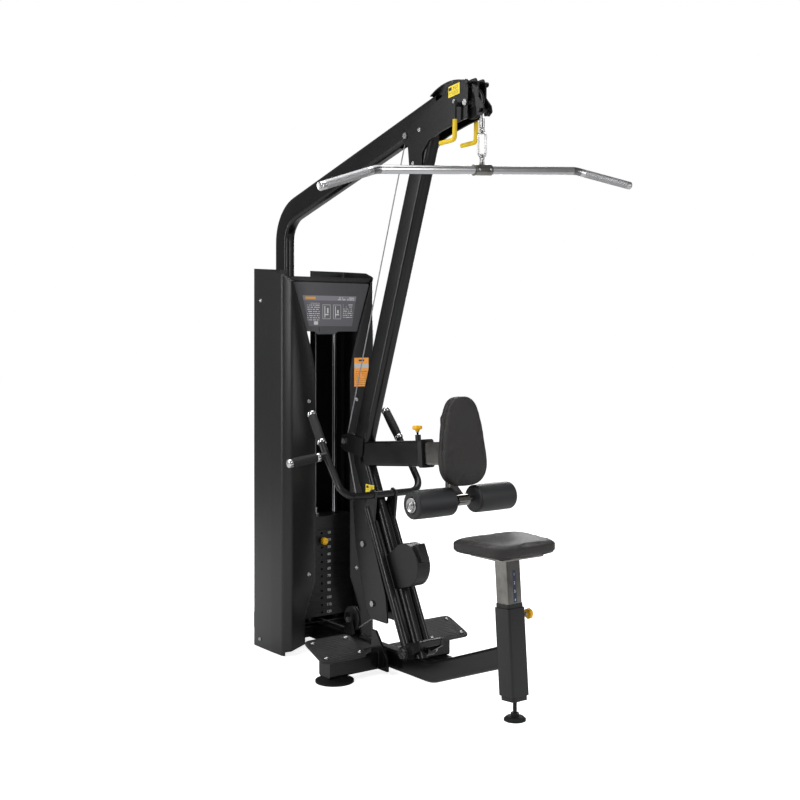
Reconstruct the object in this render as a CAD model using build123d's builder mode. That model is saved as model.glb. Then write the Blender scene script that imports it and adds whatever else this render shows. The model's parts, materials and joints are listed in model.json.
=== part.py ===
# Lat pulldown and mid row machine with one weight stack.
# Frame: X to the user's right, Y from the user towards the weight tower, Z up, floor at Z = 0.
# Distances named ..._y are first measured behind the line on which the lat bar hangs.
import math
import os

from build123d import *

os.makedirs("parts", exist_ok=True)

# ---- driving dimensions, millimetres ----
hub_y = -563.0                  # the bar's hanging line, from the middle of the machine
frame_width, frame_depth = 51.0, 102.0
frame_wall, frame_corner = 3.0, 20.0
rail_height = 76.0
rail_z = 62.0
bolt_radius, axle_radius, bore_radius = 6.0, 7.95, 8.0
cable_radius, cable_gap = 2.4, 0.3
fit_gap = 0.4                   # between pieces that slide on each other
bar_radius = 15.0
plate_count, lifted_count = 12, 2
plate_pitch, plate_gap = 30.6, 0.6
stack_bottom = 125.0
rod_x, rod_radius = 96.0, 9.5
tower_half, tower_sheet = 229.0, 3.0


def back(distance):
    """Y of a point this far behind the bar's hanging line."""
    return hub_y + distance


# ---- places in the side view, as (Y, Z) ----
boom_end = (back(225), 2161.0)
boom_bend = (back(1341), 1842.0)
post_foot_z = 100.0
elbow = (back(743), 846.0)
upright_top = (back(255), 2200.0)
upright_foot = (back(360), 40.0)
rail_bend = (back(270), rail_z)
rail_nose = (back(-150), 217.0)
rail_back = back(1290)
sleeve_foot, sleeve_top = (back(-167.8), 84.8), (back(-144.8), 382.2)
pad_tube_end = (back(334), 872.7)
pad_slope = math.radians(4.7)
pivot = (back(372), 122.0)
beam_y, beam_z, beam_half = back(575), 58.0, 290.0
plate_y, plate_z, plate_tilt = back(557), 128.0, 20.7
stack_front, stack_depth, stack_half = back(1040), 100.0, 165.0
stack_y = stack_front + stack_depth / 2
shroud_front, shroud_back, shroud_top = back(958), back(1220), 1602.0

# ---- the cable's wheels from bar to stack: centre Y, centre Z, pitch radius, turn (1 is towards +Y over the bottom)
run_z = 113.0
tip_wheel = (hub_y + 52.0, 2148.0, 52.0, -1)
gusset_wheel = (back(406), 2076.0, 38.0, -1)
elbow_wheel = (back(824), 886.0, 28.0, -1)
upper_wheel = (back(688), 485.0, 38.0, -1)
lower_wheel = (back(623), 258.0, 38.0, 1)
base_wheel = (back(807), run_z + 46.0, 46.0, 1)
riser_wheel = (back(1186), run_z + 36.0, 36.0, 1)
tower_wheel = (back(1156), 1470.0, 66.0, 1)
wheels = {
    "tip_pulley": tip_wheel,
    "gusset_pulley": gusset_wheel,
    "elbow_pulley": elbow_wheel,
    "upper_carrier_pulley": upper_wheel,
    "lower_carrier_pulley": lower_wheel,
    "base_pulley": base_wheel,
    "riser_pulley": riser_wheel,
    "tower_pulley": tower_wheel,
}
wheel_width = 22.0


def save(builder, name):
    """Labels a finished piece and writes its STEP file."""
    builder.part.label = name
    export_step(builder.part, f"parts/{name}.step")


def across(point, x=0.0):
    """A plane that faces +X at a side-view point, its local axes along Y and Z."""
    return Plane(origin=(x, point[0], point[1]), x_dir=(0, 1, 0), z_dir=(1, 0, 0))


def lateral_axis(point):
    return Axis((0, point[0], point[1]), (1, 0, 0))


def section_plane(path, at=0.0):
    """The plane square to a path, its local X along the machine's X."""
    return Plane(origin=path @ at, x_dir=(1, 0, 0), z_dir=path % at)


def unit(start, end):
    length = math.dist(start, end)
    return (end[0] - start[0]) / length, (end[1] - start[1]) / length


# ---- frame tubes ----
def frame_tube(points, radius, width, depth, wall, corner):
    """A bent rectangular tube along side-view points, hollow unless the wall is 0."""
    with BuildPart() as tube:
        with BuildLine(Plane.YZ) as path:
            if len(points) > 2:
                FilletPolyline(*points, radius=radius)
            else:
                Line(*points)
        with BuildSketch(section_plane(path.line)):
            RectangleRounded(width, depth, corner)
            if wall:
                RectangleRounded(width - 2 * wall, depth - 2 * wall, corner - wall, mode=Mode.SUBTRACT)
        sweep(path=path.line)
    return tube


boom_along = unit(boom_end, boom_bend)
boom_up = (-boom_along[1], boom_along[0])
boom_under = Plane(
    origin=(0, boom_end[0] - boom_up[0] * frame_depth / 2, boom_end[1] - boom_up[1] * frame_depth / 2),
    x_dir=(1, 0, 0),
    z_dir=(0, *boom_up),
)

# The boom runs from the nose back over the tower and turns down into the rear post.
boom_path = [boom_end, boom_bend, (boom_bend[0], post_foot_z)]
boom_tube = frame_tube(boom_path, 150, frame_width, frame_depth, frame_wall, frame_corner)
with BuildPart() as boom_post:
    add(boom_tube.part)
    # a slot under the boom lets the wheel and its cable out
    with BuildSketch(Plane.XY.offset(gusset_wheel[1] - 80)):
        with Locations((0, gusset_wheel[0] + 6)):
            Rectangle(wheel_width + 10, 2 * gusset_wheel[2] + 38)
    extrude(amount=100, mode=Mode.SUBTRACT)
    with BuildSketch(across(gusset_wheel)):
        Circle(bore_radius)
    extrude(amount=frame_width, both=True, mode=Mode.SUBTRACT)
save(boom_post, "boom_post")

# The upright leans back to its elbow and forward again to the rail.
upright_points = [upright_top, elbow, upright_foot]
upright_solid = frame_tube(upright_points, 120, frame_width, frame_depth, 0, frame_corner)
upright_tube = frame_tube(upright_points, 120, frame_width, frame_depth, frame_wall, frame_corner)
with BuildPart() as upright:
    add(upright_tube.part)
    split(bisect_by=boom_under, keep=Keep.BOTTOM)
    split(bisect_by=Plane.XY.offset(rail_z + rail_height / 2), keep=Keep.TOP)
    with BuildSketch(across(pivot)):
        Circle(10.0)
    extrude(amount=frame_width, both=True, mode=Mode.SUBTRACT)
save(upright, "upright")

# The pad tube stands on the upright's front face and slopes up towards the user.
pad_along = (-math.cos(pad_slope), math.sin(pad_slope))
pad_up = (math.sin(pad_slope), math.cos(pad_slope))


def pad_point(along, up=0.0):
    """A side-view point from the pad tube's open end, along it towards the user, and square to it."""
    return (
        pad_tube_end[0] + pad_along[0] * along + pad_up[0] * up,
        pad_tube_end[1] + pad_along[1] * along + pad_up[1] * up,
    )


pad_tube_depth = 97.0
pad_points = [pad_tube_end, pad_point(-385)]
pad_blank = frame_tube(pad_points, 0, frame_width, pad_tube_depth, frame_wall, 9.0)
pin_hole_radius = 7.2
with BuildPart() as chest_pad_tube:
    add(pad_blank.part)
    add(upright_solid.part, mode=Mode.SUBTRACT)
    with BuildSketch(Plane(origin=(0, *pad_point(-32, 30)), z_dir=(0, *pad_up))):
        Circle(pin_hole_radius)
    extrude(amount=40, mode=Mode.SUBTRACT)
save(chest_pad_tube, "chest_pad_tube")

# ---- base frame ----
rail_points = [(rail_back, rail_z), rail_bend, rail_nose]
rail_tube = frame_tube(rail_points, 150, frame_width, rail_height, frame_wall, 12.0)
sleeve_along = unit(sleeve_foot, sleeve_top)
sleeve_size, seat_tube_size = 76.2, 63.5
sleeve_rear = Plane(
    origin=(0, sleeve_foot[0] + sleeve_size / 2 * sleeve_along[1], sleeve_foot[1] - sleeve_size / 2 * sleeve_along[0]),
    x_dir=(1, 0, 0),
    z_dir=(0, sleeve_along[1], -sleeve_along[0]),
)
with BuildPart() as base_rail:
    add(rail_tube.part)
    split(bisect_by=sleeve_rear, keep=Keep.TOP)
save(base_rail, "base_rail")

# The cross beam carries the foot plates, one half each side of the rail.
beam_depth, beam_height = 76.0, 70.0
rib_x, rib_width = (195.0, 272.0), 30.0
plate_size, plate_thick = (204.0, 150.0), 9.0
plate_mid_x = 251.0
plate_slope = math.radians(plate_tilt)
with BuildPart() as cross_beam:
    for side in (-1, 1):
        with BuildSketch(Plane.YZ.offset(side * frame_width / 2)):
            with Locations((beam_y, beam_z)):
                RectangleRounded(beam_depth, beam_height, 10)
        extrude(amount=side * (beam_half - frame_width / 2))
        # ribs hold the sloping foot plate
        for x in rib_x:
            rib_top = plate_z - plate_thick / 2 / math.cos(plate_slope)
            near, far = beam_y - beam_depth / 2, beam_y + beam_depth / 2
            near_top, far_top = (rib_top + math.tan(plate_slope) * (y - plate_y) for y in (near, far))
            with BuildSketch(Plane.YZ.offset(side * x - rib_width / 2)):
                with BuildLine():
                    Polyline((near, beam_z), (far, beam_z), (far, far_top), (near, near_top), close=True)
                make_face()
            extrude(amount=rib_width)
    # gusset plate beside the rail
    with BuildSketch(Plane.YZ.offset(-64)):
        with BuildLine():
            Polyline((back(588), 24), (back(588), 168), (back(560), 168), (back(484), 72), (back(484), 24), close=True)
        make_face()
    extrude(amount=10)
save(cross_beam, "cross_beam")

# Foot plates: rubber treads that slope down towards the user, four bolts each.
plate_planes = [
    Plane(
        origin=(side * plate_mid_x, plate_y, plate_z),
        x_dir=(1, 0, 0),
        z_dir=(0, -math.sin(plate_slope), math.cos(plate_slope)),
    )
    for side in (-1, 1)
]
with BuildPart() as foot_plates:
    for plane in plate_planes:
        with BuildSketch(plane.offset(-plate_thick / 2)):
            RectangleRounded(*plate_size, 24)
        extrude(amount=plate_thick)
save(foot_plates, "foot_plates")

# The tower base: rear beam under the post, outriggers for the shrouds and the floor of the stack.
rear_beam_half, floor_thick = 130.0, 6.0
rail_top = rail_z + rail_height / 2
with BuildPart() as tower_base:
    with BuildSketch(Plane.YZ.offset(-rear_beam_half)):
        with Locations((boom_bend[0], rail_z)):
            RectangleRounded(frame_depth, rail_height, 10)
    extrude(amount=2 * rear_beam_half)
    for side in (-1, 1):
        with BuildSketch(Plane.YZ.offset(side * frame_width / 2)):
            with Locations((stack_y, rail_z)):
                RectangleRounded(50, 50, 5)
        extrude(amount=side * (tower_half - tower_sheet - frame_width / 2))
        with Locations((side * rod_x, stack_y, rail_top - 8)):
            Box(60, 50, 16)
    with BuildSketch(Plane.XY.offset(rail_top)):
        with Locations((0, stack_y)):
            RectangleRounded(300, stack_depth, 8)
    extrude(amount=floor_thick)
save(tower_base, "tower_base")

# Rubber feet: two wide ones under the cross beam, two under the rear beam.
foot_places = [(side * x, y, top, wide) for side in (-1, 1) for x, y, top, wide in (
    (244.0, beam_y, beam_z - beam_height / 2, 74.0),
    (100.0, boom_bend[0], rail_z - rail_height / 2, 45.0),
)]
with BuildPart() as rubber_feet:
    for x, y, top, wide in foot_places:
        with BuildSketch(Plane.XZ.offset(-y)) as foot_outline:
            with BuildLine():
                Polyline((x, 0), (x + wide, 0), (x + wide, 7), (x + wide * 0.55, top), (x, top), close=True)
            make_face()
        revolve(axis=Axis((x, y, 0), (0, 0, 1)))
save(rubber_feet, "rubber_feet")

# ---- boom head ----
side_thick = 6.0
side_inner = frame_width / 2
gusset_outline = [
    (back(428), 2092), (back(300), 2151), (back(186), 2191), (back(150), 2222), (back(108), 2237),
    (back(64), 2232), (back(40), 2212), (back(44), 2092), (back(108), 2082), (back(200), 2062),
    (back(268), 2040), (back(306), 2000), (back(312), 1942), (back(384), 1942), (back(394), 2030), (back(424), 2056),
]
with BuildPart() as boom_gussets:
    for start in (side_inner, -side_inner - side_thick):
        with BuildSketch(across((0, 0), start)) as gusset_sketch:
            with BuildLine():
                Polyline(*gusset_outline, close=True)
            make_face()
            fillet(gusset_sketch.vertices(), 9)
            for wheel in (tip_wheel, gusset_wheel):
                with Locations(wheel[:2]):
                    Circle(bore_radius, mode=Mode.SUBTRACT)
        extrude(amount=side_thick)
save(boom_gussets, "boom_gussets")


seat_x = side_inner + side_thick
bolt_spots = [
    Plane(origin=(side * x, y, z), z_dir=(side, 0, 0))
    for side in (-1, 1)
    for x, y, z in (
        (seat_x, back(322), 2087), (seat_x, back(118), 2161), (seat_x, back(362), 1966),
        (tower_half + tower_sheet, back(1153), 1464), (tower_half + tower_sheet, back(1161), 38),
    )
] + [
    Plane(origin=(side * 119, shroud_front - tower_sheet, z), z_dir=(0, -1, 0)) for side in (-1, 1) for z in (1045, 330)
]
with BuildPart() as frame_bolts:
    for spot in bolt_spots:
        with BuildSketch(spot):
            Circle(8)
        extrude(amount=5)
    # four on each foot plate
    for plane in plate_planes:
        with BuildSketch(plane.offset(plate_thick / 2)):
            with GridLocations(150, 100, 2, 2):
                Circle(8)
        extrude(amount=4)
save(frame_bolts, "frame_bolts")

# ---- cable wheels, each on its own axle ----
axle_reach = {name: seat_x for name in wheels} | {"base_pulley": 22.0, "riser_pulley": 22.0, "tower_pulley": 22.0}
for name, (y, z, pitch, _) in wheels.items():
    groove, rim = pitch - cable_radius - cable_gap, pitch + 5.0
    boss = min(15.0, groove - 12.0)
    with BuildPart() as wheel:
        with BuildSketch(Plane(origin=(0, y, z))):
            with BuildLine():
                Polyline(
                    (-wheel_width / 2, bore_radius), (wheel_width / 2, bore_radius), (wheel_width / 2, boss),
                    (5, boss + 3), (5, groove - 8), (wheel_width / 2 - 3, rim), (4.5, rim), (2.7, groove),
                    (-2.7, groove), (-4.5, rim), (-wheel_width / 2 + 3, rim), (-5, groove - 8), (-5, boss + 3),
                    (-wheel_width / 2, boss), close=True,
                )
            make_face()
        revolve(axis=lateral_axis((y, z)))
    save(wheel, name)
with BuildPart() as pulley_axles:
    for name, (y, z, *_) in wheels.items():
        reach = axle_reach[name]
        with BuildSketch(across((y, z))):
            Circle(axle_radius)
        extrude(amount=reach, both=True)
        for way in (-1, 1):
            with BuildSketch(across((y, z), way * reach)):
                RegularPolygon(12.5, 6)
            extrude(amount=way * 7)
save(pulley_axles, "pulley_axles")

# ---- brackets that hold the wheels behind the upright and in the tower ----
def side_plates(outline, inner, thick, hole, corner=8.0):
    """A pair of mirrored plates from one side-view outline, with the axle's hole through both."""
    with BuildPart() as pair:
        for start in (inner, -inner - thick):
            with BuildSketch(across((0, 0), start)) as sketch:
                with BuildLine():
                    Polyline(*outline, close=True)
                make_face()
                fillet(sketch.vertices(), corner)
                for place in hole:
                    with Locations(place[:2]):
                        Circle(bore_radius, mode=Mode.SUBTRACT)
            extrude(amount=thick)
    return pair.part


carrier_outline = [
    (back(676), 668), (back(742), 668), (back(762), 640), (back(742), 480), (back(672), 240),
    (back(640), 196), (back(524), 196), (back(538), 300), (back(632), 520),
]
elbow_outline = [
    (back(690), 905), (back(800), 920), (back(846), 908), (back(850), 866), (back(820), 846), (back(700), 830),
]
base_bracket_outline = [
    (base_wheel[0] - 34, rail_top), (base_wheel[0] + 34, rail_top),
    (base_wheel[0] + 22, base_wheel[1] + 26), (base_wheel[0] - 22, base_wheel[1] + 26),
]
bracket_inner = 15.0
with BuildPart() as pulley_carrier:
    add(side_plates(carrier_outline, side_inner, side_thick, [upper_wheel, lower_wheel]))
    add(side_plates(elbow_outline, side_inner, side_thick, [elbow_wheel]))
    add(side_plates(base_bracket_outline, bracket_inner, 7.0, [base_wheel], 5.0))
save(pulley_carrier, "pulley_carrier")

post_front = boom_bend[0] - frame_depth / 2
riser_outline = [
    (riser_wheel[0] - 14, riser_wheel[1] - 16), (post_front, riser_wheel[1] - 16),
    (post_front, riser_wheel[1] + 40), (riser_wheel[0] - 14, riser_wheel[1] + 22),
]
tower_outline = [
    (tower_wheel[0] - 26, tower_wheel[1] - 22), (post_front, tower_wheel[1] - 50),
    (post_front, tower_wheel[1] + 82), (tower_wheel[0] + 60, tower_wheel[1] + 82),
    (tower_wheel[0] - 26, tower_wheel[1] + 22),
]
cap_z, cap_thick = 1556.0, 6.0
with BuildPart() as tower_brackets:
    add(side_plates(riser_outline, bracket_inner, 7.0, [riser_wheel], 5.0))
    add(side_plates(tower_outline, bracket_inner, 7.0, [tower_wheel], 5.0))
save(tower_brackets, "tower_brackets")

# Covers: the nose fender over the tip pulley and the guard on the front of the upright.
fender_half, fender_thick = side_inner - 0.5, 4.0
fender_back, fender_top, fender_front = (back(270), 2199.0), (back(148), 2238.0), (back(58), 2224.0)
guard_mid = (back(420), 440.0)
guard_half = 30.0
upright_dir = unit(elbow, upright_foot)
guard_plane = Plane(origin=(-guard_half, *guard_mid), x_dir=(0, *upright_dir), z_dir=(1, 0, 0))
with BuildPart() as pulley_covers:
    with BuildSketch(Plane.YZ.offset(-fender_half)):
        with BuildLine():
            top = ThreePointArc(fender_back, fender_top, fender_front)
            offset(amount=fender_thick, side=Side.RIGHT, closed=True)
        make_face()
    extrude(amount=2 * fender_half)
    with BuildSketch(guard_plane):
        with BuildLine():
            bow = ThreePointArc((-82, 2), (0, -86), (82, 2))
            Polyline(bow @ 1, (66, 96), (-66, 96), bow @ 0)
        make_face()
    extrude(amount=2 * guard_half)
    with BuildSketch(guard_plane.offset(guard_half - 18)):
        with Locations((-18, -80)):
            RectangleRounded(72, 40, 6)
    extrude(amount=36)
    add(upright_solid.part, mode=Mode.SUBTRACT)
save(pulley_covers, "pulley_covers")

# The cable guide hangs from the top axle in front of the tip pulley.
guide_top, guide_low = (back(30), 2216.0), (back(-13), 2112.0)
guide_outline = [
    (back(46), 2228), (back(12), 2230), (back(-2), 2206), (back(-2), 2160), (back(-30), 2128),
    (back(-34), 2106), (back(-18), 2092), (back(6), 2096), (back(12), 2130), (back(18), 2168), (back(46), 2206),
]
guide_inner, guide_thick = 15.0, 5.0
with BuildPart() as cable_guide:
    for start in (guide_inner, -guide_inner - guide_thick):
        with BuildSketch(across((0, 0), start)) as guide_sketch:
            with BuildLine():
                Polyline(*guide_outline, close=True)
            make_face()
            fillet(guide_sketch.vertices(), 5)
        extrude(amount=guide_thick)
    for place, radius, reach in ((guide_top, 6.0, 46.0), (guide_low, 5.0, 26.0)):
        with BuildSketch(across(place)):
            Circle(radius)
        extrude(amount=reach, both=True)
        with BuildSketch(across(place)):
            Circle(radius + 3.5)
        extrude(amount=guide_inner, both=True)
        for way in (-1, 1):
            with BuildSketch(across(place, way * reach)):
                Circle(radius + 3.5)
            extrude(amount=way * 5)
    add(boom_gussets.part, mode=Mode.SUBTRACT)
save(cable_guide, "cable_guide")

# Bar hooks: a steel rod each side with a yellow sleeve round its bend.
hook_x, hook_radius, sleeve_radius = 50.0, 5.5, 8.5
hook_points = [(back(88), 2156), (back(92), 2019), (back(166), 2016)]
sleeve_start = (back(89.9), 2091.0)
def swept_rod(points, bend, radius, x=0.0):
    """A round bar along side-view points in the plane at x."""
    with BuildPart() as rod:
        with BuildLine(Plane.YZ.offset(x)) as path:
            FilletPolyline(*points, radius=bend)
        with BuildSketch(Plane(origin=path.line @ 0, z_dir=path.line % 0)):
            Circle(radius)
        sweep(path=path.line)
    return rod.part


with BuildPart() as bar_hooks:
    for x in (-hook_x, hook_x):
        add(swept_rod(hook_points, 14, hook_radius, x))
        with BuildSketch(Plane.YZ.offset(math.copysign(seat_x, x))):
            with Locations((back(88), 2146)):
                Circle(8.5)
        extrude(amount=math.copysign(hook_x - seat_x, x))
with BuildPart() as hook_sleeves:
    for x in (-hook_x, hook_x):
        add(swept_rod([sleeve_start, hook_points[1], (back(172), 2015.8)], 14, sleeve_radius, x))
    add(bar_hooks.part, mode=Mode.SUBTRACT)
save(bar_hooks, "bar_hooks")
save(hook_sleeves, "hook_sleeves")

# ---- seat: outer sleeve, chrome tube, plate, cushion, pull pin and levelling foot ----
def seat_point(along, up=0.0):
    """A side-view point along the seat sleeve's axis from its foot, and square to it towards the tower."""
    return (
        sleeve_foot[0] + sleeve_along[0] * along + sleeve_along[1] * up,
        sleeve_foot[1] + sleeve_along[1] * along - sleeve_along[0] * up,
    )


def seat_plane(along):
    return Plane(origin=(0, *seat_point(along)), x_dir=(1, 0, 0), z_dir=(0, *sleeve_along))


sleeve_length = math.dist(sleeve_foot, sleeve_top)
seat_pin_along, pin_radius = 264.0, 4.0
seat_level = 563.0
with BuildPart() as seat_sleeve:
    with BuildSketch(seat_plane(0)):
        RectangleRounded(sleeve_size, sleeve_size, 8)
        RectangleRounded(sleeve_size - 6, sleeve_size - 6, 5, mode=Mode.SUBTRACT)
    extrude(amount=sleeve_length)
    with BuildSketch(Plane(origin=(0, *seat_point(seat_pin_along)), z_dir=(1, 0, 0))):
        Circle(pin_hole_radius)
    extrude(amount=sleeve_size, mode=Mode.SUBTRACT)
save(seat_sleeve, "seat_sleeve")

collar_gap = seat_tube_size + 2 * fit_gap
pad_slide_size = (40.0, 84.0)
with BuildPart() as sleeve_collars:
    # seat sleeve: top bush and bottom cap
    with BuildSketch(seat_plane(sleeve_length)):
        RectangleRounded(70, 70, 10)
        RectangleRounded(collar_gap, collar_gap, 5, mode=Mode.SUBTRACT)
    extrude(amount=14)
    with BuildSketch(seat_plane(-16)):
        RectangleRounded(68, 68, 10)
    extrude(amount=16)
    # pad tube: end bush
    with BuildSketch(Plane(origin=(0, *pad_point(0)), x_dir=(1, 0, 0), z_dir=(0, *pad_along))):
        RectangleRounded(60, 106, 10)
        RectangleRounded(pad_slide_size[0] + 2 * fit_gap, pad_slide_size[1] + 2 * fit_gap, 5, mode=Mode.SUBTRACT)
    extrude(amount=24)
save(sleeve_collars, "sleeve_collars")

seat_tube_low, hole_pitch = 120.0, 25.4
seat_head = (seat_level - sleeve_foot[1]) / sleeve_along[1]
seat_mid_y = seat_point(seat_head)[0]
with BuildPart() as seat_tube:
    with BuildSketch(seat_plane(seat_tube_low)):
        RectangleRounded(seat_tube_size, seat_tube_size, 5)
        RectangleRounded(seat_tube_size - 6, seat_tube_size - 6, 3, mode=Mode.SUBTRACT)
    extrude(amount=seat_head - seat_tube_low + 10)
    split(bisect_by=Plane.XY.offset(seat_level - 6), keep=Keep.BOTTOM)
    # height holes for the pin
    for index in range(-4, 9):
        with BuildSketch(Plane(origin=(0, *seat_point(seat_pin_along + index * hole_pitch)), z_dir=(1, 0, 0))):
            Circle(pin_radius + 0.5)
        extrude(amount=seat_tube_size, mode=Mode.SUBTRACT)
    with BuildSketch(Plane.XY.offset(seat_level - 6)):
        with Locations((0, seat_mid_y)):
            RectangleRounded(200, 170, 12)
    extrude(amount=6)
save(seat_tube, "seat_tube")

seat_front_half, seat_rear_half, seat_length, seat_thick = 140.0, 178.0, 268.0, 58.0
with BuildPart() as seat_cushion:
    with BuildSketch(Plane.XY.offset(seat_level)) as seat_outline:
        with BuildLine():
            Polyline(
                (-seat_rear_half, seat_mid_y - seat_length / 2), (seat_rear_half, seat_mid_y - seat_length / 2),
                (seat_front_half, seat_mid_y + seat_length / 2), (-seat_front_half, seat_mid_y + seat_length / 2),
                close=True,
            )
        make_face()
        fillet(seat_outline.vertices(), 62)
    extrude(amount=seat_thick)
    fillet(seat_cushion.faces().sort_by(Axis.Z)[-1].edges(), 14)
    fillet(seat_cushion.faces().sort_by(Axis.Z)[0].edges(), 8)
save(seat_cushion, "seat_cushion")


def pull_pin(face, tip_gap, knob_radius=16.0):
    """A pull pin on a tube's face: collar housing, and the pin with its knob. Local Z points out of the face."""
    with BuildPart() as housing:
        with BuildSketch(face):
            Circle(11)
            Circle(pin_radius + fit_gap, mode=Mode.SUBTRACT)
        extrude(amount=22)
    with BuildPart() as pin:
        with BuildSketch(face.offset(tip_gap)):
            Circle(pin_radius)
        extrude(amount=30 - tip_gap)
        with BuildSketch(face.offset(30)):
            Circle(6.5)
        extrude(amount=10)
        with BuildSketch(face.offset(40)):
            Circle(knob_radius)
        extrude(amount=17)
        chamfer(pin.edges().filter_by(GeomType.CIRCLE).sort_by(SortBy.LENGTH)[-1], 2)
    return housing.part, pin.part


seat_pin_face = Plane(origin=(sleeve_size / 2, *seat_point(seat_pin_along)), x_dir=(0, *sleeve_along), z_dir=(1, 0, 0))
pad_pin_face = Plane(origin=(0, *pad_point(-32, pad_tube_depth / 2)), x_dir=(1, 0, 0), z_dir=(0, *pad_up))
seat_housing, seat_pin_part = pull_pin(seat_pin_face, -6.0, 20.0)
pad_housing, pad_pin_part = pull_pin(pad_pin_face, -6.0)
with BuildPart() as pin_housings:
    add(seat_housing)
    add(pad_housing)
save(pin_housings, "pin_housings")
with BuildPart() as seat_pin:
    add(seat_pin_part)
save(seat_pin, "seat_pin")
with BuildPart() as pad_pin:
    add(pad_pin_part)
save(pad_pin, "pad_pin")

foot_y = back(-172)
with BuildPart() as seat_foot:
    with BuildSketch(Plane.XZ.offset(-foot_y)):
        with BuildLine():
            Polyline((0, 0), (38, 0), (38, 6), (30, 13), (14, 17), (14, 26), (7, 26), (7, 66.5), (0, 66.5), close=True)
        make_face()
    revolve(axis=Axis((0, foot_y, 0), (0, 0, 1)))
save(seat_foot, "seat_foot")

# ---- chest pad on its slide, with the thigh rollers below ----
pad_face_along = 188.0          # back of the pad, from the tube's end
roller_place = (back(112), 722.0)
roller_inner, roller_outer, roller_radius, roller_axle = 52.0, 230.0, 51.0, 10.0


def pad_plane(along):
    return Plane(origin=(0, *pad_point(along)), x_dir=(1, 0, 0), z_dir=(0, *pad_along))


with BuildPart() as pad_slide:
    with BuildSketch(pad_plane(-240)):
        RectangleRounded(*pad_slide_size, 5)
        RectangleRounded(pad_slide_size[0] - 6, pad_slide_size[1] - 6, 3, mode=Mode.SUBTRACT)
    extrude(amount=240 + pad_face_along - 6)
    # back plate of the pad, and the drop leg to the roller axle
    with BuildSketch(pad_plane(pad_face_along - 6)):
        with Locations((0, 50)):
            RectangleRounded(120, 190, 20)
    extrude(amount=6)
    leg_top = pad_point(pad_face_along - 26, -38)
    with BuildLine(Plane.YZ) as leg:
        Polyline(leg_top, (leg_top[0] + 2, 762), (roller_place[0] + 10, roller_place[1]))
    with BuildSketch(section_plane(leg.line)):
        RectangleRounded(38, 30, 4)
    sweep(path=leg.line, transition=Transition.RIGHT)
    with BuildSketch(across(roller_place)):
        Circle(20)
    extrude(amount=26, both=True)
    with BuildSketch(across(roller_place)):
        Circle(roller_axle)
    extrude(amount=60, both=True, mode=Mode.SUBTRACT)
save(pad_slide, "pad_slide")

pad_width_low, pad_width_top, pad_low, pad_high, pad_thick = 208.0, 126.0, -118.0, 208.0, 76.0
with BuildPart() as chest_pad:
    with BuildSketch(pad_plane(pad_face_along)) as pad_outline:
        with BuildLine():
            Polyline(
                (-pad_width_low / 2, -30), (-pad_width_low / 2 + 26, pad_low),
                (pad_width_low / 2 - 26, pad_low), (pad_width_low / 2, -30),
                (pad_width_top / 2, pad_high), (-pad_width_top / 2, pad_high), close=True,
            )
        make_face()
        fillet(pad_outline.vertices(), 46)
    extrude(amount=pad_thick)
    fillet(chest_pad.faces().sort_by(Axis.Y)[0].edges(), 14)
save(chest_pad, "chest_pad")

with BuildPart() as roller_shaft:
    with BuildSketch(across(roller_place)):
        Circle(roller_axle - 0.05)
    extrude(amount=roller_outer - 6, both=True)
save(roller_shaft, "roller_axle")
cap_thick_x = 8.0
for side, name in ((-1, "left_roller"), (1, "right_roller")):
    with BuildPart() as roller:
        # foam sleeve on its core tube
        with BuildSketch(across(roller_place, side * roller_inner)):
            Circle(roller_radius)
            Circle(roller_axle + 0.05, mode=Mode.SUBTRACT)
        extrude(amount=side * (roller_outer - roller_inner))
        fillet(roller.edges().filter_by(GeomType.CIRCLE).sort_by(SortBy.RADIUS)[-2:], 8)
    with BuildPart() as cap:
        with BuildSketch(across(roller_place, side * (roller_outer + fit_gap))):
            Circle(24)
        extrude(amount=side * cap_thick_x)
        fillet(cap.edges().filter_by(GeomType.CIRCLE).sort_by(Axis.X)[-1 if side > 0 else 0], 3)
    with BuildPart() as roller_set:
        add(roller.part)
        add(cap.part)
    save(roller_set, name)

# ---- row arm: two tubes beside the upright, a U handle and its four grips ----
arm_x, arm_radius, hub_radius, shaft_radius = 50.0, 16.5, 26.0, 10.0
hub_span = (30.5, 70.0)
arm_top = (back(632), 640.0)
handle_foot = (back(592), 692.0)
handle_lean = math.atan2(835 - 592, 1005 - 692)
handle_radius, handle_half, handle_rise, grip_length = 14.0, 193.0, 246.0, 150.0
handle_up = (math.sin(handle_lean), math.cos(handle_lean))
handle_plane = Plane(origin=(0, *handle_foot), x_dir=(1, 0, 0), z_dir=(0, -handle_up[1], handle_up[0]))
with BuildPart() as pivot_shaft:
    with BuildSketch(across(pivot)):
        Circle(shaft_radius - 0.05)
    extrude(amount=hub_span[1] + 3, both=True)
    for way in (-1, 1):
        with BuildSketch(across(pivot, way * (hub_span[1] + 1))):
            Circle(20)
            RegularPolygon(7, 6, mode=Mode.SUBTRACT)
        extrude(amount=way * 9)
save(pivot_shaft, "pivot_shaft")

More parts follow.
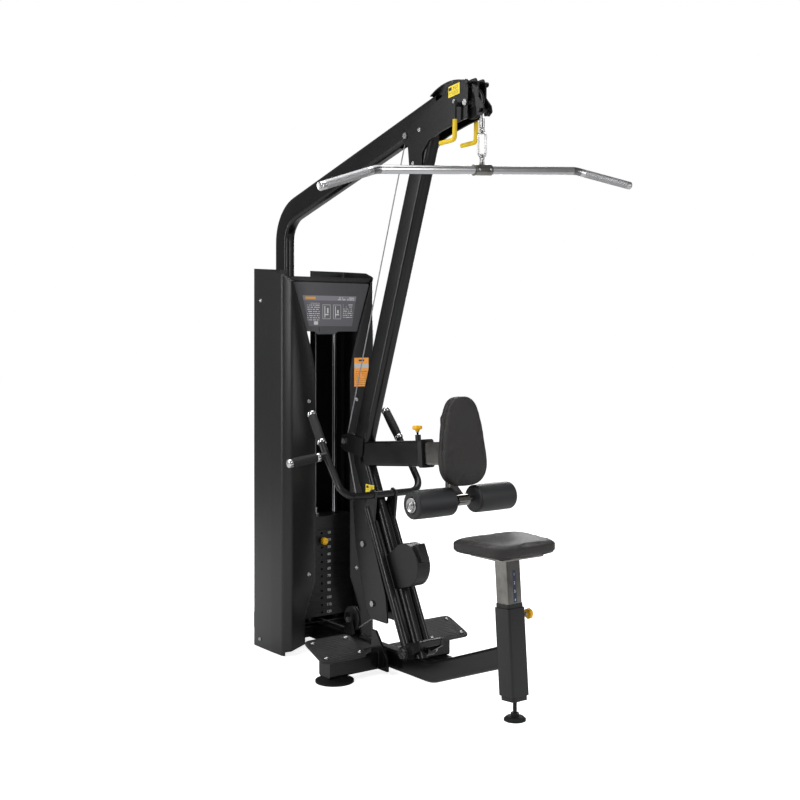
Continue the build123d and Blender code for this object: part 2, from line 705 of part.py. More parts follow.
stub_start, stub_end = handle_plane.from_local_coords((handle_half, handle_rise - 52)), Vector(350, back(735), 822)
stub_along = (stub_end - stub_start).normalized()
cross_bar = (back(300), 166.0)
with BuildPart() as row_arm:
    for side in (-1, 1):
        with BuildSketch(across(pivot, side * hub_span[0])):
            Circle(hub_radius)
        extrude(amount=side * (hub_span[1] - hub_span[0]))
        with BuildLine(Plane.YZ.offset(side * arm_x)) as arm_line:
            Line(pivot, arm_top)
        with BuildSketch(Plane(origin=arm_line.line @ 0, z_dir=arm_line.line % 0)):
            Circle(arm_radius)
        extrude(amount=math.dist(pivot, arm_top))
        # link plate from the tube's top to the handle, and the toe of the cross loop
        with BuildSketch(across((0, 0), side * arm_x - 5)) as link:
            with BuildLine():
                Polyline(
                    (arm_top[0] + 12, arm_top[1] - 60), (arm_top[0] + 14, arm_top[1] + 4),
                    (handle_foot[0] + 12, handle_foot[1] + 22), (handle_foot[0] - 20, handle_foot[1] + 14),
                    (handle_foot[0] - 16, handle_foot[1] - 22), (arm_top[0] - 44, arm_top[1] - 60), close=True,
                )
            make_face()
            fillet(link.vertices(), 6)
        extrude(amount=10)
        with BuildSketch(across((0, 0), side * arm_x - 7)) as toe:
            with BuildLine():
                Polyline(
                    (pivot[0] + 14, pivot[1] + 30), (pivot[0] + 6, pivot[1] - 22), (cross_bar[0] - 14, cross_bar[1] - 16),
                    (cross_bar[0] - 14, cross_bar[1] + 14), close=True,
                )
            make_face()
            fillet(toe.vertices(), 6)
        extrude(amount=14)
        # stub of the outer grip
        start = Vector(side * stub_start.X, stub_start.Y, stub_start.Z)
        with BuildSketch(Plane(origin=start, z_dir=(side * stub_along.X, stub_along.Y, stub_along.Z))):
            Circle(handle_radius)
        extrude(amount=(stub_end - stub_start).length)
    with BuildSketch(Plane.YZ.offset(-arm_x)):
        with Locations(cross_bar):
            RectangleRounded(24, 26, 5)
    extrude(amount=2 * arm_x)
    with BuildLine(handle_plane) as handle_line:
        FilletPolyline(
            (-handle_half + 10, handle_rise + grip_length), (-handle_half, handle_rise - 40), (-handle_half, 0),
            (handle_half, 0), (handle_half, handle_rise - 40), (handle_half - 10, handle_rise + grip_length),
            radius=[90, 62, 62, 90],
        )
    with BuildSketch(Plane(origin=handle_line.line @ 0, z_dir=handle_line.line % 0)):
        Circle(handle_radius)
    sweep(path=handle_line.line)
    with BuildSketch(across(pivot)):
        Circle(shaft_radius)
    extrude(amount=hub_span[1] + 5, both=True, mode=Mode.SUBTRACT)
save(row_arm, "row_arm")


def grip_pieces(top, along, length):
    """Rubber sleeve, chrome collar and end knob on a handle end; `along` points outwards to `top`."""
    tip = Plane(origin=top, z_dir=along)
    with BuildPart() as sleeve:
        with BuildSketch(tip.offset(-length + 14)):
            Circle(handle_radius + 3.5)
            Circle(handle_radius + 0.05, mode=Mode.SUBTRACT)
        extrude(amount=length - 28)
    with BuildPart() as metal:
        with BuildSketch(tip.offset(-length)):
            Circle(handle_radius + 4.5)
            Circle(handle_radius + 0.05, mode=Mode.SUBTRACT)
        extrude(amount=13.8)
        with BuildSketch(tip.offset(-13.8)):
            Circle(handle_radius + 3.5)
            Circle(handle_radius + 0.05, mode=Mode.SUBTRACT)
        extrude(amount=13.8)
        with BuildSketch(tip):
            Circle(handle_radius + 3.5)
        extrude(amount=7)
        fillet(metal.edges().filter_by(GeomType.CIRCLE).sort_by_distance(tip.offset(20).origin)[0], 4)
    return sleeve.part, metal.part


handle_tip = handle_plane.from_local_coords((handle_half - 10, handle_rise + grip_length))
leg_foot = handle_plane.from_local_coords((handle_half, handle_rise - 40))
grip_spots = []
for side in (-1, 1):
    for tip, foot, length in ((handle_tip, leg_foot, 146.0), (stub_end, stub_start, 132.0)):
        tip, foot = (Vector(side * p.X, p.Y, p.Z) for p in (tip, foot))
        grip_spots.append(grip_pieces(tip, (tip - foot).normalized(), length))
with BuildPart() as row_grips:
    for sleeve, _ in grip_spots:
        add(sleeve)
with BuildPart() as grip_collars:
    for _, metal in grip_spots:
        add(metal)
save(row_grips, "row_grips")
save(grip_collars, "grip_collars")

# ---- weight tower: two folded shrouds, cap, placard, guide rods and stack ----
front_plane = Plane(origin=(0, shroud_front, 0), x_dir=(1, 0, 0), z_dir=(0, -1, 0))
opening_half = [(192, 1640), (192, 1534), (128, 1332), (104, 1250), (87, 1165), (87, 298), (137, 150), (137, 45), (229, 16), (229, -20)]
rim_profile = [
    (shroud_back + 10, shroud_top), (back(1043), 1588), (back(985), 1568), (shroud_front - 10, 1536),
    (shroud_front - 10, shroud_top + 60), (shroud_back + 10, shroud_top + 60),
]
shroud_base = 4.0
with BuildPart() as left_shroud:
    with BuildSketch(Plane.XY.offset(shroud_base)) as shell_outline:
        with BuildLine():
            FilletPolyline(
                (-60, shroud_front), (-201, shroud_front), (-tower_half + 3, back(986)), (-tower_half, back(1070)),
                (-tower_half, shroud_back), (-57, shroud_back), radius=[10, 26, 120, 14],
            )
            offset(amount=tower_sheet, side=Side.LEFT, closed=True)
        make_face()
    extrude(amount=shroud_top + 20)
    with BuildSketch(Plane.YZ.offset(-tower_half - 10)):
        with BuildLine():
            Polyline(*rim_profile, close=True)
        make_face()
    extrude(amount=2 * tower_half, mode=Mode.SUBTRACT)
    with BuildSketch(front_plane.offset(20)):
        with BuildLine():
            Polyline(*[(-x, z) for x, z in opening_half], (0, -20), (0, 1640), close=True)
        make_face()
    extrude(amount=-40, mode=Mode.SUBTRACT)
with BuildPart() as right_shroud:
    mirror(left_shroud.part, about=Plane.YZ)
save(left_shroud, "left_shroud")
save(right_shroud, "right_shroud")

cap_front, cap_half = back(985), tower_half - tower_sheet - 0.5
with BuildPart() as tower_cap:
    with BuildSketch(Plane.XY.offset(cap_z)):
        with Locations((0, (cap_front + shroud_back - 4) / 2)):
            Rectangle(2 * cap_half - 14, shroud_back - 4 - cap_front)
        with Locations((0, shroud_back - 14)):
            Rectangle(70, 40, mode=Mode.SUBTRACT)
    extrude(amount=cap_thick)
    with BuildSketch(Plane.YZ.offset(-cap_half + 14)):
        with Locations((cap_front - 3, cap_z - 6)):
            RectangleRounded(6, 24, 2.5)
    extrude(amount=2 * cap_half - 28)
save(tower_cap, "tower_cap")

placard_inset = 4.0
with BuildPart() as placard_panel:
    with BuildSketch(front_plane.offset(-placard_inset)) as placard_sketch:
        with BuildLine():
            Polyline((-190, 1538), (190, 1538), (127, 1334), (30, 1334), (14, 1322), (-70, 1322), (-86, 1334), (-127, 1334), close=True)
        make_face()
        fillet(placard_sketch.vertices(), 5)
    extrude(amount=-4)
    # holder pocket in the lower edge
    with BuildSketch(front_plane.offset(-placard_inset)):
        with Locations((-28, 1340)):
            RectangleRounded(72, 24, 8)
    extrude(amount=3)
save(placard_panel, "placard_panel")

floor_top = rail_top + floor_thick
with BuildPart() as guide_rods:
    with BuildSketch(Plane.XY.offset(floor_top)):
        with Locations((-rod_x, stack_y), (rod_x, stack_y)):
            Circle(rod_radius)
    extrude(amount=cap_z - floor_top)
save(guide_rods, "guide_rods")
with BuildPart() as stack_bumpers:
    with BuildSketch(Plane.XY.offset(floor_top)):
        with Locations((-rod_x, stack_y), (rod_x, stack_y)):
            Circle(24)
            Circle(rod_radius + 0.05, mode=Mode.SUBTRACT)
    extrude(amount=stack_bottom - floor_top)
save(stack_bumpers, "stack_bumpers")

stem_radius, pin_rod_radius = 12.0, 4.5
plate_height = plate_pitch - plate_gap


def weight_plates(first, last):
    """Slotted iron plates from number first, counted upwards from the floor, to last."""
    with BuildPart() as plates:
        for index in range(first, last):
            low = stack_bottom + index * plate_pitch
            with BuildSketch(Plane.XY.offset(low)):
                with Locations((0, stack_y)):
                    RectangleRounded(2 * stack_half, stack_depth, 12)
                    with Locations((-rod_x, 0), (rod_x, 0)):
                        Circle(rod_radius + 1, mode=Mode.SUBTRACT)
                    Circle(stem_radius + 0.6, mode=Mode.SUBTRACT)
            extrude(amount=plate_height)
            with BuildSketch(Plane(origin=(0, stack_front, low + plate_height / 2), z_dir=(0, 1, 0))):
                Circle(pin_rod_radius + 0.5)
            extrude(amount=stack_depth, mode=Mode.SUBTRACT)
    return plates


resting_count = plate_count - lifted_count
resting_plates = weight_plates(0, resting_count)
lifted_plates = weight_plates(resting_count, plate_count)
save(resting_plates, "resting_plates")
save(lifted_plates, "lifted_plates")

head_low, head_height = stack_bottom + plate_count * plate_pitch, 56.0
head_top = head_low + head_height
with BuildPart() as head_plate:
    with BuildSketch(Plane.XY.offset(head_low)):
        with Locations((0, stack_y)):
            RectangleRounded(2 * stack_half, stack_depth, 12)
            with Locations((-rod_x, 0), (rod_x, 0)):
                Circle(rod_radius + 0.05, mode=Mode.SUBTRACT)
            Circle(stem_radius, mode=Mode.SUBTRACT)
    extrude(amount=head_height)
save(head_plate, "head_plate")

pin_level = stack_bottom + resting_count * plate_pitch + plate_height / 2
cable_bolt = 34.0
with BuildPart() as selector_stem:
    with BuildSketch(Plane.XY.offset(stack_bottom + 4)):
        with Locations((0, stack_y)):
            Circle(stem_radius)
    extrude(amount=head_top - stack_bottom - 4)
    for index in range(plate_count):
        level = stack_bottom + index * plate_pitch + plate_height / 2
        with BuildSketch(Plane(origin=(0, stack_y - 20, level), z_dir=(0, 1, 0))):
            Circle(pin_rod_radius + 0.5)
        extrude(amount=40, mode=Mode.SUBTRACT)
    with BuildSketch(Plane.XY.offset(head_top)):
        with Locations((0, stack_y)):
            RegularPolygon(14, 6)
    extrude(amount=10)
    with BuildSketch(Plane.XY.offset(head_top + 10)):
        with Locations((0, stack_y)):
            Circle(8)
    extrude(amount=cable_bolt - 10)
save(selector_stem, "selector_stem")

with BuildPart() as selector_pin:
    with BuildSketch(Plane(origin=(0, stack_y + 24, pin_level), z_dir=(0, -1, 0))):
        Circle(pin_rod_radius)
    extrude(amount=24 + stack_depth / 2 + 1)
    with BuildSketch(Plane(origin=(0, stack_front - 1, pin_level), z_dir=(0, -1, 0))):
        Circle(15)
    extrude(amount=30)
    fillet(selector_pin.edges().filter_by(GeomType.CIRCLE).sort_by(Axis.Y)[0], 6)
save(selector_pin, "selector_pin")

# ---- cable: one steel rope over all eight wheels, and the two stretches that change length ----
def travel_angles(route, first, last):
    """Direction of travel, in degrees, before each wheel and after the last one."""
    angles = [first]
    for (y0, z0, r0, s0), (y1, z1, r1, s1) in zip(route, route[1:]):
        span, bearing = math.dist((y0, z0), (y1, z1)), math.atan2(z1 - z0, y1 - y0)
        angles.append(math.degrees(bearing - math.asin((s1 * r1 - s0 * r0) / span)))
    return angles + [last]


def on_wheel(wheel, angle):
    """The point on a wheel's pitch circle at an angle in degrees from +Y."""
    y, z, radius, _ = wheel
    return y + radius * math.cos(math.radians(angle)), z + radius * math.sin(math.radians(angle))


route = list(wheels.values())
angles = travel_angles(route, 90.0, -90.0)
with BuildPart() as cable_run:
    with BuildLine(Plane.YZ) as rope:
        leaving = None
        for wheel, angle_in, angle_out in zip(route, angles, angles[1:]):
            turn = wheel[3]
            start, wrap = angle_in - 90 * turn, turn * ((turn * (angle_out - angle_in)) % 360)
            arriving = on_wheel(wheel, start)
            if leaving:
                Line(leaving, arriving)
            leaving = on_wheel(wheel, start + wrap)
            ThreePointArc(arriving, on_wheel(wheel, start + wrap / 2), leaving)
    with BuildSketch(Plane(origin=(0, hub_y, tip_wheel[1]), z_dir=(0, 0, 1))):
        Circle(cable_radius)
    sweep(path=rope.line)
save(cable_run, "cable_run")
print("cable length in the frame, mm:", round(sum(edge.length for edge in rope.edges())))


def straight_rope(y, low, high):
    with BuildPart() as stretch:
        with BuildSketch(Plane.XY.offset(low)):
            with Locations((0, y)):
                Circle(cable_radius)
        extrude(amount=high - low)
    return stretch


ferrule_top = 2086.0
save(straight_rope(hub_y, ferrule_top, tip_wheel[1]), "bar_cable")
save(straight_rope(stack_y, head_top + cable_bolt, tower_wheel[1]), "stack_cable")

# ---- lat bar and its hardware ----
bar_z, bar_tilt = 1903.0, math.radians(4.4)
link_radius, link_half, link_top, link_low = 4.5, 17.0, 2041.0, 1950.0
eye_ring, eye_wire = 10.0, 3.5
swivel_z, swivel_depth, swivel_radius = 1930.0, 8.0, 5.0
with BuildPart() as cable_end:
    with BuildSketch(Plane.XY.offset(link_top + 12)):
        with Locations((0, hub_y)):
            Circle(9.5)
    extrude(amount=ferrule_top - link_top - 12)
    with Locations(Plane(origin=(0, hub_y, link_top + 2), z_dir=(1, 0, 0))):
        Torus(eye_ring, eye_wire)
    # lower eye of the swivel, with its neck and the pin that turns in the hanger
    with Locations(Plane(origin=(0, hub_y, link_low - 2), z_dir=(1, 0, 0))):
        Torus(eye_ring, eye_wire)
    with BuildSketch(Plane.XY.offset(swivel_z)):
        with Locations((0, hub_y)):
            Circle(8)
    extrude(amount=link_low - 11 - swivel_z)
    with BuildSketch(Plane.XY.offset(swivel_z - swivel_depth)):
        with Locations((0, hub_y)):
            Circle(swivel_radius)
    extrude(amount=swivel_depth)
save(cable_end, "cable_end")
with BuildPart() as carabiner:
    with BuildLine(Plane(origin=(0, hub_y, 0), x_dir=(1, 0, 0), z_dir=(0, -1, 0))) as loop:
        left = Line((-link_half, link_low + link_half), (-link_half, link_top - link_half))
        arch = ThreePointArc(left @ 1, (0, link_top), (link_half, link_top - link_half))
        right = Line(arch @ 1, (link_half, link_low + link_half))
        ThreePointArc(right @ 1, (0, link_low), left @ 0)
    with BuildSketch(Plane(origin=(-link_half, hub_y, link_low + link_half), z_dir=(0, 0, 1))):
        Circle(link_radius)
    sweep(path=loop.line)
save(carabiner, "carabiner")

bar_dir = (math.cos(bar_tilt), 0, math.sin(bar_tilt))
bar_centre = (0, hub_y, bar_z)
collar_half, bar_fit = 38.0, 0.05
collar_plane = Plane(origin=bar_centre, z_dir=bar_dir)
with BuildPart() as bar_hanger:
    with BuildSketch(collar_plane):
        Circle(20)
    extrude(amount=collar_half, both=True)
    with BuildSketch(Plane.XY.offset(bar_z + 10)):
        with Locations((0, hub_y)):
            Circle(9)
    extrude(amount=swivel_z - fit_gap - bar_z - 10)
    with BuildSketch(Plane.XY.offset(swivel_z - swivel_depth - fit_gap)):
        with Locations((0, hub_y)):
            Circle(swivel_radius + bar_fit)
    extrude(amount=swivel_depth + 5, mode=Mode.SUBTRACT)
    with BuildSketch(collar_plane):
        Circle(bar_radius + bar_fit)
    extrude(amount=collar_half + 5, both=True, mode=Mode.SUBTRACT)
save(bar_hanger, "bar_hanger")

bend_x, tip_x, tip_drop, bar_roll = 464.0, 718.0, 74.0, math.radians(34.8)
# the bent ends hang down and, by the roll, towards the user
bar_facing = (-math.sin(bar_tilt) * math.sin(bar_roll), -math.cos(bar_roll), math.cos(bar_tilt) * math.sin(bar_roll))
bar_plane = Plane(origin=bar_centre, x_dir=bar_dir, z_dir=bar_facing)
with BuildPart() as lat_bar:
    with BuildLine(bar_plane) as bar_line:
        FilletPolyline((-tip_x, -tip_drop), (-bend_x, 0), (bend_x, 0), (tip_x, -tip_drop), radius=110)
    with BuildSketch(Plane(origin=bar_line.line @ 0, z_dir=bar_line.line % 0)):
        Circle(bar_radius)
    sweep(path=bar_line.line)
save(lat_bar, "lat_bar")
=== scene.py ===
import json
import math

import bpy
import numpy as np
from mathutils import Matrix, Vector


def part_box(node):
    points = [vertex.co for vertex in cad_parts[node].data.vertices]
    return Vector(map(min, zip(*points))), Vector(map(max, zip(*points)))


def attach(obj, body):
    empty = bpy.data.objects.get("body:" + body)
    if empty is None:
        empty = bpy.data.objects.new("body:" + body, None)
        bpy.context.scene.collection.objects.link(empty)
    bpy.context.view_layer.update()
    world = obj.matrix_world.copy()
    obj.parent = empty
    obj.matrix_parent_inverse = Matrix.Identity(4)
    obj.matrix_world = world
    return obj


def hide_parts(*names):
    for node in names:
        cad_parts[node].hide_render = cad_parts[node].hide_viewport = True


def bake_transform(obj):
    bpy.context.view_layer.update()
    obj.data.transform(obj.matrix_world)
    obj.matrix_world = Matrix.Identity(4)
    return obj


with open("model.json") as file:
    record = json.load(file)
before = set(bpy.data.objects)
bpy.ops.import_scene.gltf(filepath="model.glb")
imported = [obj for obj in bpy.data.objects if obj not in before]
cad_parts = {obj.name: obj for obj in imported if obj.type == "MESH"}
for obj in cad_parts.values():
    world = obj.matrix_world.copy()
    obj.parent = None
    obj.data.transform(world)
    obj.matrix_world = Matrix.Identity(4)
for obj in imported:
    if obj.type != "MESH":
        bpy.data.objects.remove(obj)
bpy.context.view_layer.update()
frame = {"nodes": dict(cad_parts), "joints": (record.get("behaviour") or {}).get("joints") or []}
nodes = frame["nodes"]
joints = {joint["name"]: joint for joint in frame["joints"]}
hubY = joints["hanger_swivel"]["pos_m"][1]        # the line on which the bar hangs


cable = {"radius": 0.0024, "sides": 16, "rings": 60, "stackLine": 1.090}
tread = {
    # plate size, ridges and their number, the tilt, the middle of the right plate and its bolts from the middle
    "width": 0.204, "depth": 0.150, "ridge": 0.0014, "count": 15, "tilt": math.radians(20.7), "squareness": 9.0,
    "side": 0.251, "behind": 0.557, "height": 0.128, "boltX": 0.075, "boltY": 0.05, "boltClear": 0.0115,
}


def back(distance):
    # Y of a point this many metres behind the bar's hanging line
    return hubY + distance


class Value:
    # A shader socket that takes part in arithmetic: each operator adds one Math node.
    def __init__(self, paint, socket):
        self.paint, self.socket = paint, socket

    def math(self, operation, *others):
        inputs = dict(enumerate((self, *others)))
        return self.paint.node("ShaderNodeMath", {"operation": operation}, inputs, 0)

    def flipped(self, operation, other):
        return self.paint.node("ShaderNodeMath", {"operation": operation}, {0: other, 1: self}, 0)

    def __add__(self, other):
        return self.math("ADD", other)

    def __radd__(self, other):
        return self.math("ADD", other)

    def __sub__(self, other):
        return self.math("SUBTRACT", other)

    def __rsub__(self, other):
        return self.flipped("SUBTRACT", other)

    def __mul__(self, other):
        return self.math("MULTIPLY", other)

    def __rmul__(self, other):
        return self.math("MULTIPLY", other)

    def __truediv__(self, other):
        return self.math("DIVIDE", other)

    def __gt__(self, other):
        return self.math("GREATER_THAN", other)

    def __lt__(self, other):
        return self.math("LESS_THAN", other)

    def __abs__(self):
        return self.math("ABSOLUTE")

    def clipped(self):
        return self.paint.node("ShaderNodeClamp", {}, {0: self}, 0)

    def between(self, low, high):
        # 1 where low < value < high, else 0
        return (self > low) * (self < high)


class Paint:
    # One node material round a Principled shader.
    def __init__(self, name):
        self.material = bpy.data.materials.new(name)
        self.material.use_nodes = True
        self.tree = self.material.node_tree
        self.shader = self.tree.nodes["Principled BSDF"]

    def feed(self, socket, value):
        # a shader value is linked, and anything else is set on the socket
        if isinstance(value, Value):
            self.tree.links.new(value.socket, socket)
        else:
            socket.default_value = value

    def node(self, kind, settings, inputs, output):
        made = self.tree.nodes.new(kind)
        for key, value in settings.items():
            setattr(made, key, value)
        for key, value in inputs.items():
            self.feed(made.inputs[key], value)
        return Value(self, made.outputs[output])

    def point(self):
        return self.node("ShaderNodeTexCoord", {}, {}, "Object")

    def uv(self):
        return self.node("ShaderNodeTexCoord", {}, {}, "UV")

    def axis(self, vector, letter):
        return self.node("ShaderNodeSeparateXYZ", {}, {0: vector}, letter)

    def noise(self, vector, scale, detail=2.0, rough=0.5):
        inputs = {"Vector": vector, "Scale": scale, "Detail": detail, "Roughness": rough}
        return self.node("ShaderNodeTexNoise", {}, inputs, 0)

    def cells(self, vector, scale, feature):
        return self.node("ShaderNodeTexVoronoi", {"feature": feature}, {"Vector": vector, "Scale": scale}, "Distance")

    def mix(self, low, high, factor):
        inputs = {0: factor, 6: (*low, 1) if isinstance(low, tuple) else low,
                  7: (*high, 1) if isinstance(high, tuple) else high}
        return self.node("ShaderNodeMix", {"data_type": "RGBA"}, inputs, 2)

    def bump(self, height, depth, edge=0.0):
        # height runs 0 to 1 and depth is what 1 stands for, in metres; corners shine as if rounded by edge
        inputs = {"Height": height, "Distance": depth}
        if edge:
            inputs["Normal"] = self.node("ShaderNodeBevel", {"samples": 4}, {"Radius": edge}, 0)
        return self.node("ShaderNodeBump", {}, inputs, 0)

    def finish(self, **inputs):
        # plain words for the shader's sockets
        for key, value in inputs.items():
            name = {"colour": "Base Color", "roughness": "Roughness", "metal": "Metallic", "normal": "Normal",
                    "coat": "Coat Weight", "coatRough": "Coat Roughness", "specular": "Specular IOR Level",
                    "sheen": "Sheen Weight"}[key]
            if key == "colour" and isinstance(value, tuple):
                value = (*value, 1)
            self.feed(self.shader.inputs[name], value)
        return self.material


coats = {
    # dark and light colour, roughness and its spread, metal, grain per metre, its depth, cloudiness, edge radius
    "frameCoat": ((0.0016, 0.0016, 0.0018), (0.0034, 0.0034, 0.0038), 0.25, 0.08, 0.0, 620, 0.00004, 7, 0.004),
    "shroudCoat": ((0.0105, 0.0105, 0.0115), (0.0145, 0.0145, 0.0155), 0.26, 0.06, 0.0, 700, 0.00003, 3, 0.014),
    # a lighter copy of the frame's black: painted highlight on the row arm and seat sleeve
    "armCoat": ((0.0075, 0.0075, 0.0080), (0.0120, 0.0120, 0.0125), 0.24, 0.08, 0.0, 620, 0.00003, 7, 0.002),
    "coverCoat": ((0.003, 0.003, 0.0035), (0.006, 0.006, 0.007), 0.40, 0.08, 0.0, 500, 0.00015, 12, 0.004),
    "zincPlate": ((0.30, 0.30, 0.30), (0.46, 0.46, 0.46), 0.26, 0.14, 1.0, 900, 0.00003, 40, 0.0),
    "chromePlate": ((0.46, 0.46, 0.46), (0.70, 0.70, 0.71), 0.09, 0.07, 1.0, 300, 0.00001, 18, 0.0),
    # a darkened copy of the chrome whose wide dark-to-light cloud is painted reflection, for the seat tube, bar hanger
    # and pad slide
    "agedChrome": ((0.07, 0.065, 0.06), (0.34, 0.33, 0.31), 0.16, 0.12, 1.0, 300, 0.00002, 14, 0.002),
    "blackPlastic": ((0.008, 0.008, 0.009), (0.013, 0.013, 0.014), 0.42, 0.10, 0.0, 900, 0.00010, 20, 0.002),
    "pulleyNylon": ((0.012, 0.012, 0.013), (0.022, 0.022, 0.023), 0.38, 0.12, 0.0, 400, 0.00006, 25, 0.001),
    "orangePlastic": ((0.85, 0.42, 0.006), (0.95, 0.52, 0.010), 0.30, 0.10, 0.0, 700, 0.00005, 30, 0.001),
    "sleeveVinyl": ((0.74, 0.50, 0.010), (0.86, 0.60, 0.016), 0.36, 0.10, 0.0, 500, 0.00006, 30, 0.0),
    "ironPaint": ((0.005, 0.005, 0.0055), (0.012, 0.012, 0.013), 0.44, 0.16, 0.0, 260, 0.00030, 14, 0.002),
    "blackRubber": ((0.003, 0.003, 0.003), (0.007, 0.007, 0.007), 0.62, 0.16, 0.0, 800, 0.00012, 16, 0.002),
}


def coatMaterial(name):
    # colour = mix(dark, light, cloud); roughness = mean + spread x (cloud - 1/2); height = grain and a finer speckle
    dark, light, rough, spread, metal, grain, depth, cloudiness, edge = coats[name]
    paint = Paint(name)
    point = paint.point()
    cloud = paint.noise(point, cloudiness, 4, 0.6)
    skin = paint.noise(point, grain, 2, 0.55)
    speck = paint.noise(point, grain * 3.1, 1, 0.5)
    return paint.finish(
        colour=paint.mix(dark, light, cloud), metal=metal, specular=0.5 if metal else 0.36,
        roughness=(rough + (cloud - 0.5) * spread + (speck - 0.5) * (spread * 0.4)).clipped(),
        normal=paint.bump(skin * 0.75 + speck * 0.25, depth, edge),
    )


def leatherMaterial(name, values):
    # height = pebbles (1 - cell distance) + creases where neighbouring cells meet, over a slow stretch of noise
    paint = Paint(name)
    point = paint.point()
    wobble = paint.noise(point, 60, 2)
    pebble = paint.cells(point, values["pebbles"], "SMOOTH_F1")
    crease = paint.cells(point, values["pebbles"], "DISTANCE_TO_EDGE")
    pores = paint.noise(point, values["pebbles"] * 2.2, 2)
    height = (crease * 3.0).clipped() * 0.6 + (1 - pebble) * 0.3 + pores * 0.1
    cloud = paint.noise(point, 9, 4, 0.6)
    rough = values["rough"] + (cloud - 0.5) * 0.12 + (1 - (crease * 4.0).clipped()) * 0.12 + (wobble - 0.5) * 0.06
    return paint.finish(
        colour=paint.mix(values["dark"], values["light"], (cloud * 0.6 + pebble * 0.4).clipped()),
        roughness=rough.clipped(), normal=paint.bump(height, values["depth"]), specular=values["specular"],
    )


def knurlMaterial(name):
    # two crossed saw waves round and along the bar, inside the grip bands only; fine turning lines elsewhere
    paint = Paint(name)
    uv = paint.uv()
    along, around = paint.axis(uv, "Y"), paint.axis(uv, "X")
    place = abs(along)
    grip = place.between(knurl["start"], knurl["end"])
    pitch = knurl["pitch"]
    first = ((along / pitch + around * knurl["turns"]).math("PINGPONG", 0.5) * 2).math("POWER", 0.7)
    second = ((along / pitch - around * knurl["turns"]).math("PINGPONG", 0.5) * 2).math("POWER", 0.7)
    diamonds = first * second
    point = paint.point()
    lines = paint.noise(paint.node("ShaderNodeCombineXYZ", {}, {0: along * 2600, 1: around * 3}, 0), 1.0, 2)
    cloud = paint.noise(point, 22, 4, 0.6)
    band = place.between(knurl["bandStart"], knurl["bandEnd"])
    light = paint.mix((0.46, 0.46, 0.47), (0.52, 0.52, 0.53), cloud)
    # the grooves between the diamonds are painted darker: painted shade in the knurl's recesses
    dark = paint.mix(light, (0.26, 0.26, 0.27), (grip * (1 - diamonds) * 0.8).clipped())
    return paint.finish(
        colour=paint.mix(dark, (0.10, 0.10, 0.105), band * 0.75), metal=1.0,
        roughness=(0.24 + (cloud - 0.5) * 0.06 + grip * 0.14).clipped(),
        normal=paint.bump(grip * diamonds * 0.95 + lines * 0.05, 0.0004),
    )


def ropeMaterial(name):
    # strands: a wave along the cable's length plus its angle, so that the ridges wind round it
    paint = Paint(name)
    uv = paint.uv()
    lay = (paint.axis(uv, "Y") / 0.011 + paint.axis(uv, "X")) * 6.0
    strand = (lay.math("PINGPONG", 0.5) * 2).math("POWER", 0.5)
    grime = paint.noise(paint.point(), 90, 3)
    # the colour darkens in the valleys between strands: painted shade; the grime noise adds random dark and light tone
    return paint.finish(
        colour=paint.mix((0.10, 0.10, 0.105), (0.42, 0.42, 0.43), (strand * 0.8 + grime * 0.2).clipped()),
        metal=0.85, roughness=0.34, normal=paint.bump(strand, 0.0004),
    )


def wireMaterial(name):
    # the same rope on a piece without a UV map: diagonal ridges from height and depth
    paint = Paint(name)
    point = paint.point()
    lay = (paint.axis(point, "Z") + paint.axis(point, "Y") + paint.axis(point, "X") * 2.0) / 0.0022
    strand = (lay.math("PINGPONG", 0.5) * 2).math("POWER", 0.5)
    # the colour darkens in the valleys between strands: painted shade
    return paint.finish(
        colour=paint.mix((0.10, 0.10, 0.105), (0.40, 0.40, 0.41), strand), metal=0.85, roughness=0.34,
        normal=paint.bump(strand, 0.0003),
    )


def foamMaterial(name):
    # a closed skin with small dimples
    paint = Paint(name)
    point = paint.point()
    dimple = paint.cells(point, 420, "SMOOTH_F1")
    fine = paint.noise(point, 1500, 2)
    cloud = paint.noise(point, 12, 4, 0.6)
    return paint.finish(
        colour=paint.mix((0.006, 0.0065, 0.0075), (0.012, 0.013, 0.015), cloud),
        roughness=(0.50 + (cloud - 0.5) * 0.12 + (fine - 0.5) * 0.1).clipped(),
        normal=paint.bump(dimple * 0.6 + fine * 0.4, 0.00035), specular=0.45,
    )


def printMaterial(name, reader, ground, rows, roughness, area=None):
    # printed panel: ink where a row of blocks covers the point; reader gives the two coordinates of the print
    # each row: ink, left, right, low, high, pitch of its lines (0: solid), filled share of a line, word breaks
    paint = Paint(name)
    u, v = reader(paint)
    wear = paint.noise(paint.point(), 30, 4, 0.6)
    colour = paint.mix(ground, tuple(c * 1.3 for c in ground), wear)
    for ink, left, right, low, high, pitch, fill, breaks in rows:
        mask = u.between(left, right) * v.between(low, high)
        if area is not None:
            mask = mask * area(u, v)
        if pitch:
            line = (v - low) / pitch
            mask = mask * (line.math("FRACT") < fill)
            if breaks:
                spot = paint.node("ShaderNodeCombineXYZ", {}, {0: u * breaks, 1: line.math("FLOOR") * 3.7}, 0)
                mask = mask * (paint.noise(spot, 1.0, 0.0) > 0.45)
        colour = paint.mix(colour, ink, mask)
    return paint.finish(colour=colour, roughness=(roughness + (wear - 0.5) * 0.1).clipped(),
                        normal=paint.bump(wear, 0.00005))


def placardSheet(x, z):
    # the information sheet: a band whose sides lean in as it goes down
    depth = 1.483 - z
    return (x + 0.146 - depth * 0.25 > 0) * ((0.124 - depth * 0.18) - x > 0)


def across(paint):
    # print coordinates of a piece that faces the user: X and Z
    point = paint.point()
    return paint.axis(point, "X"), paint.axis(point, "Z")


def ownMap(paint):
    # print coordinates from the piece's own UV map
    uv = paint.uv()
    return paint.axis(uv, "X"), paint.axis(uv, "Y")


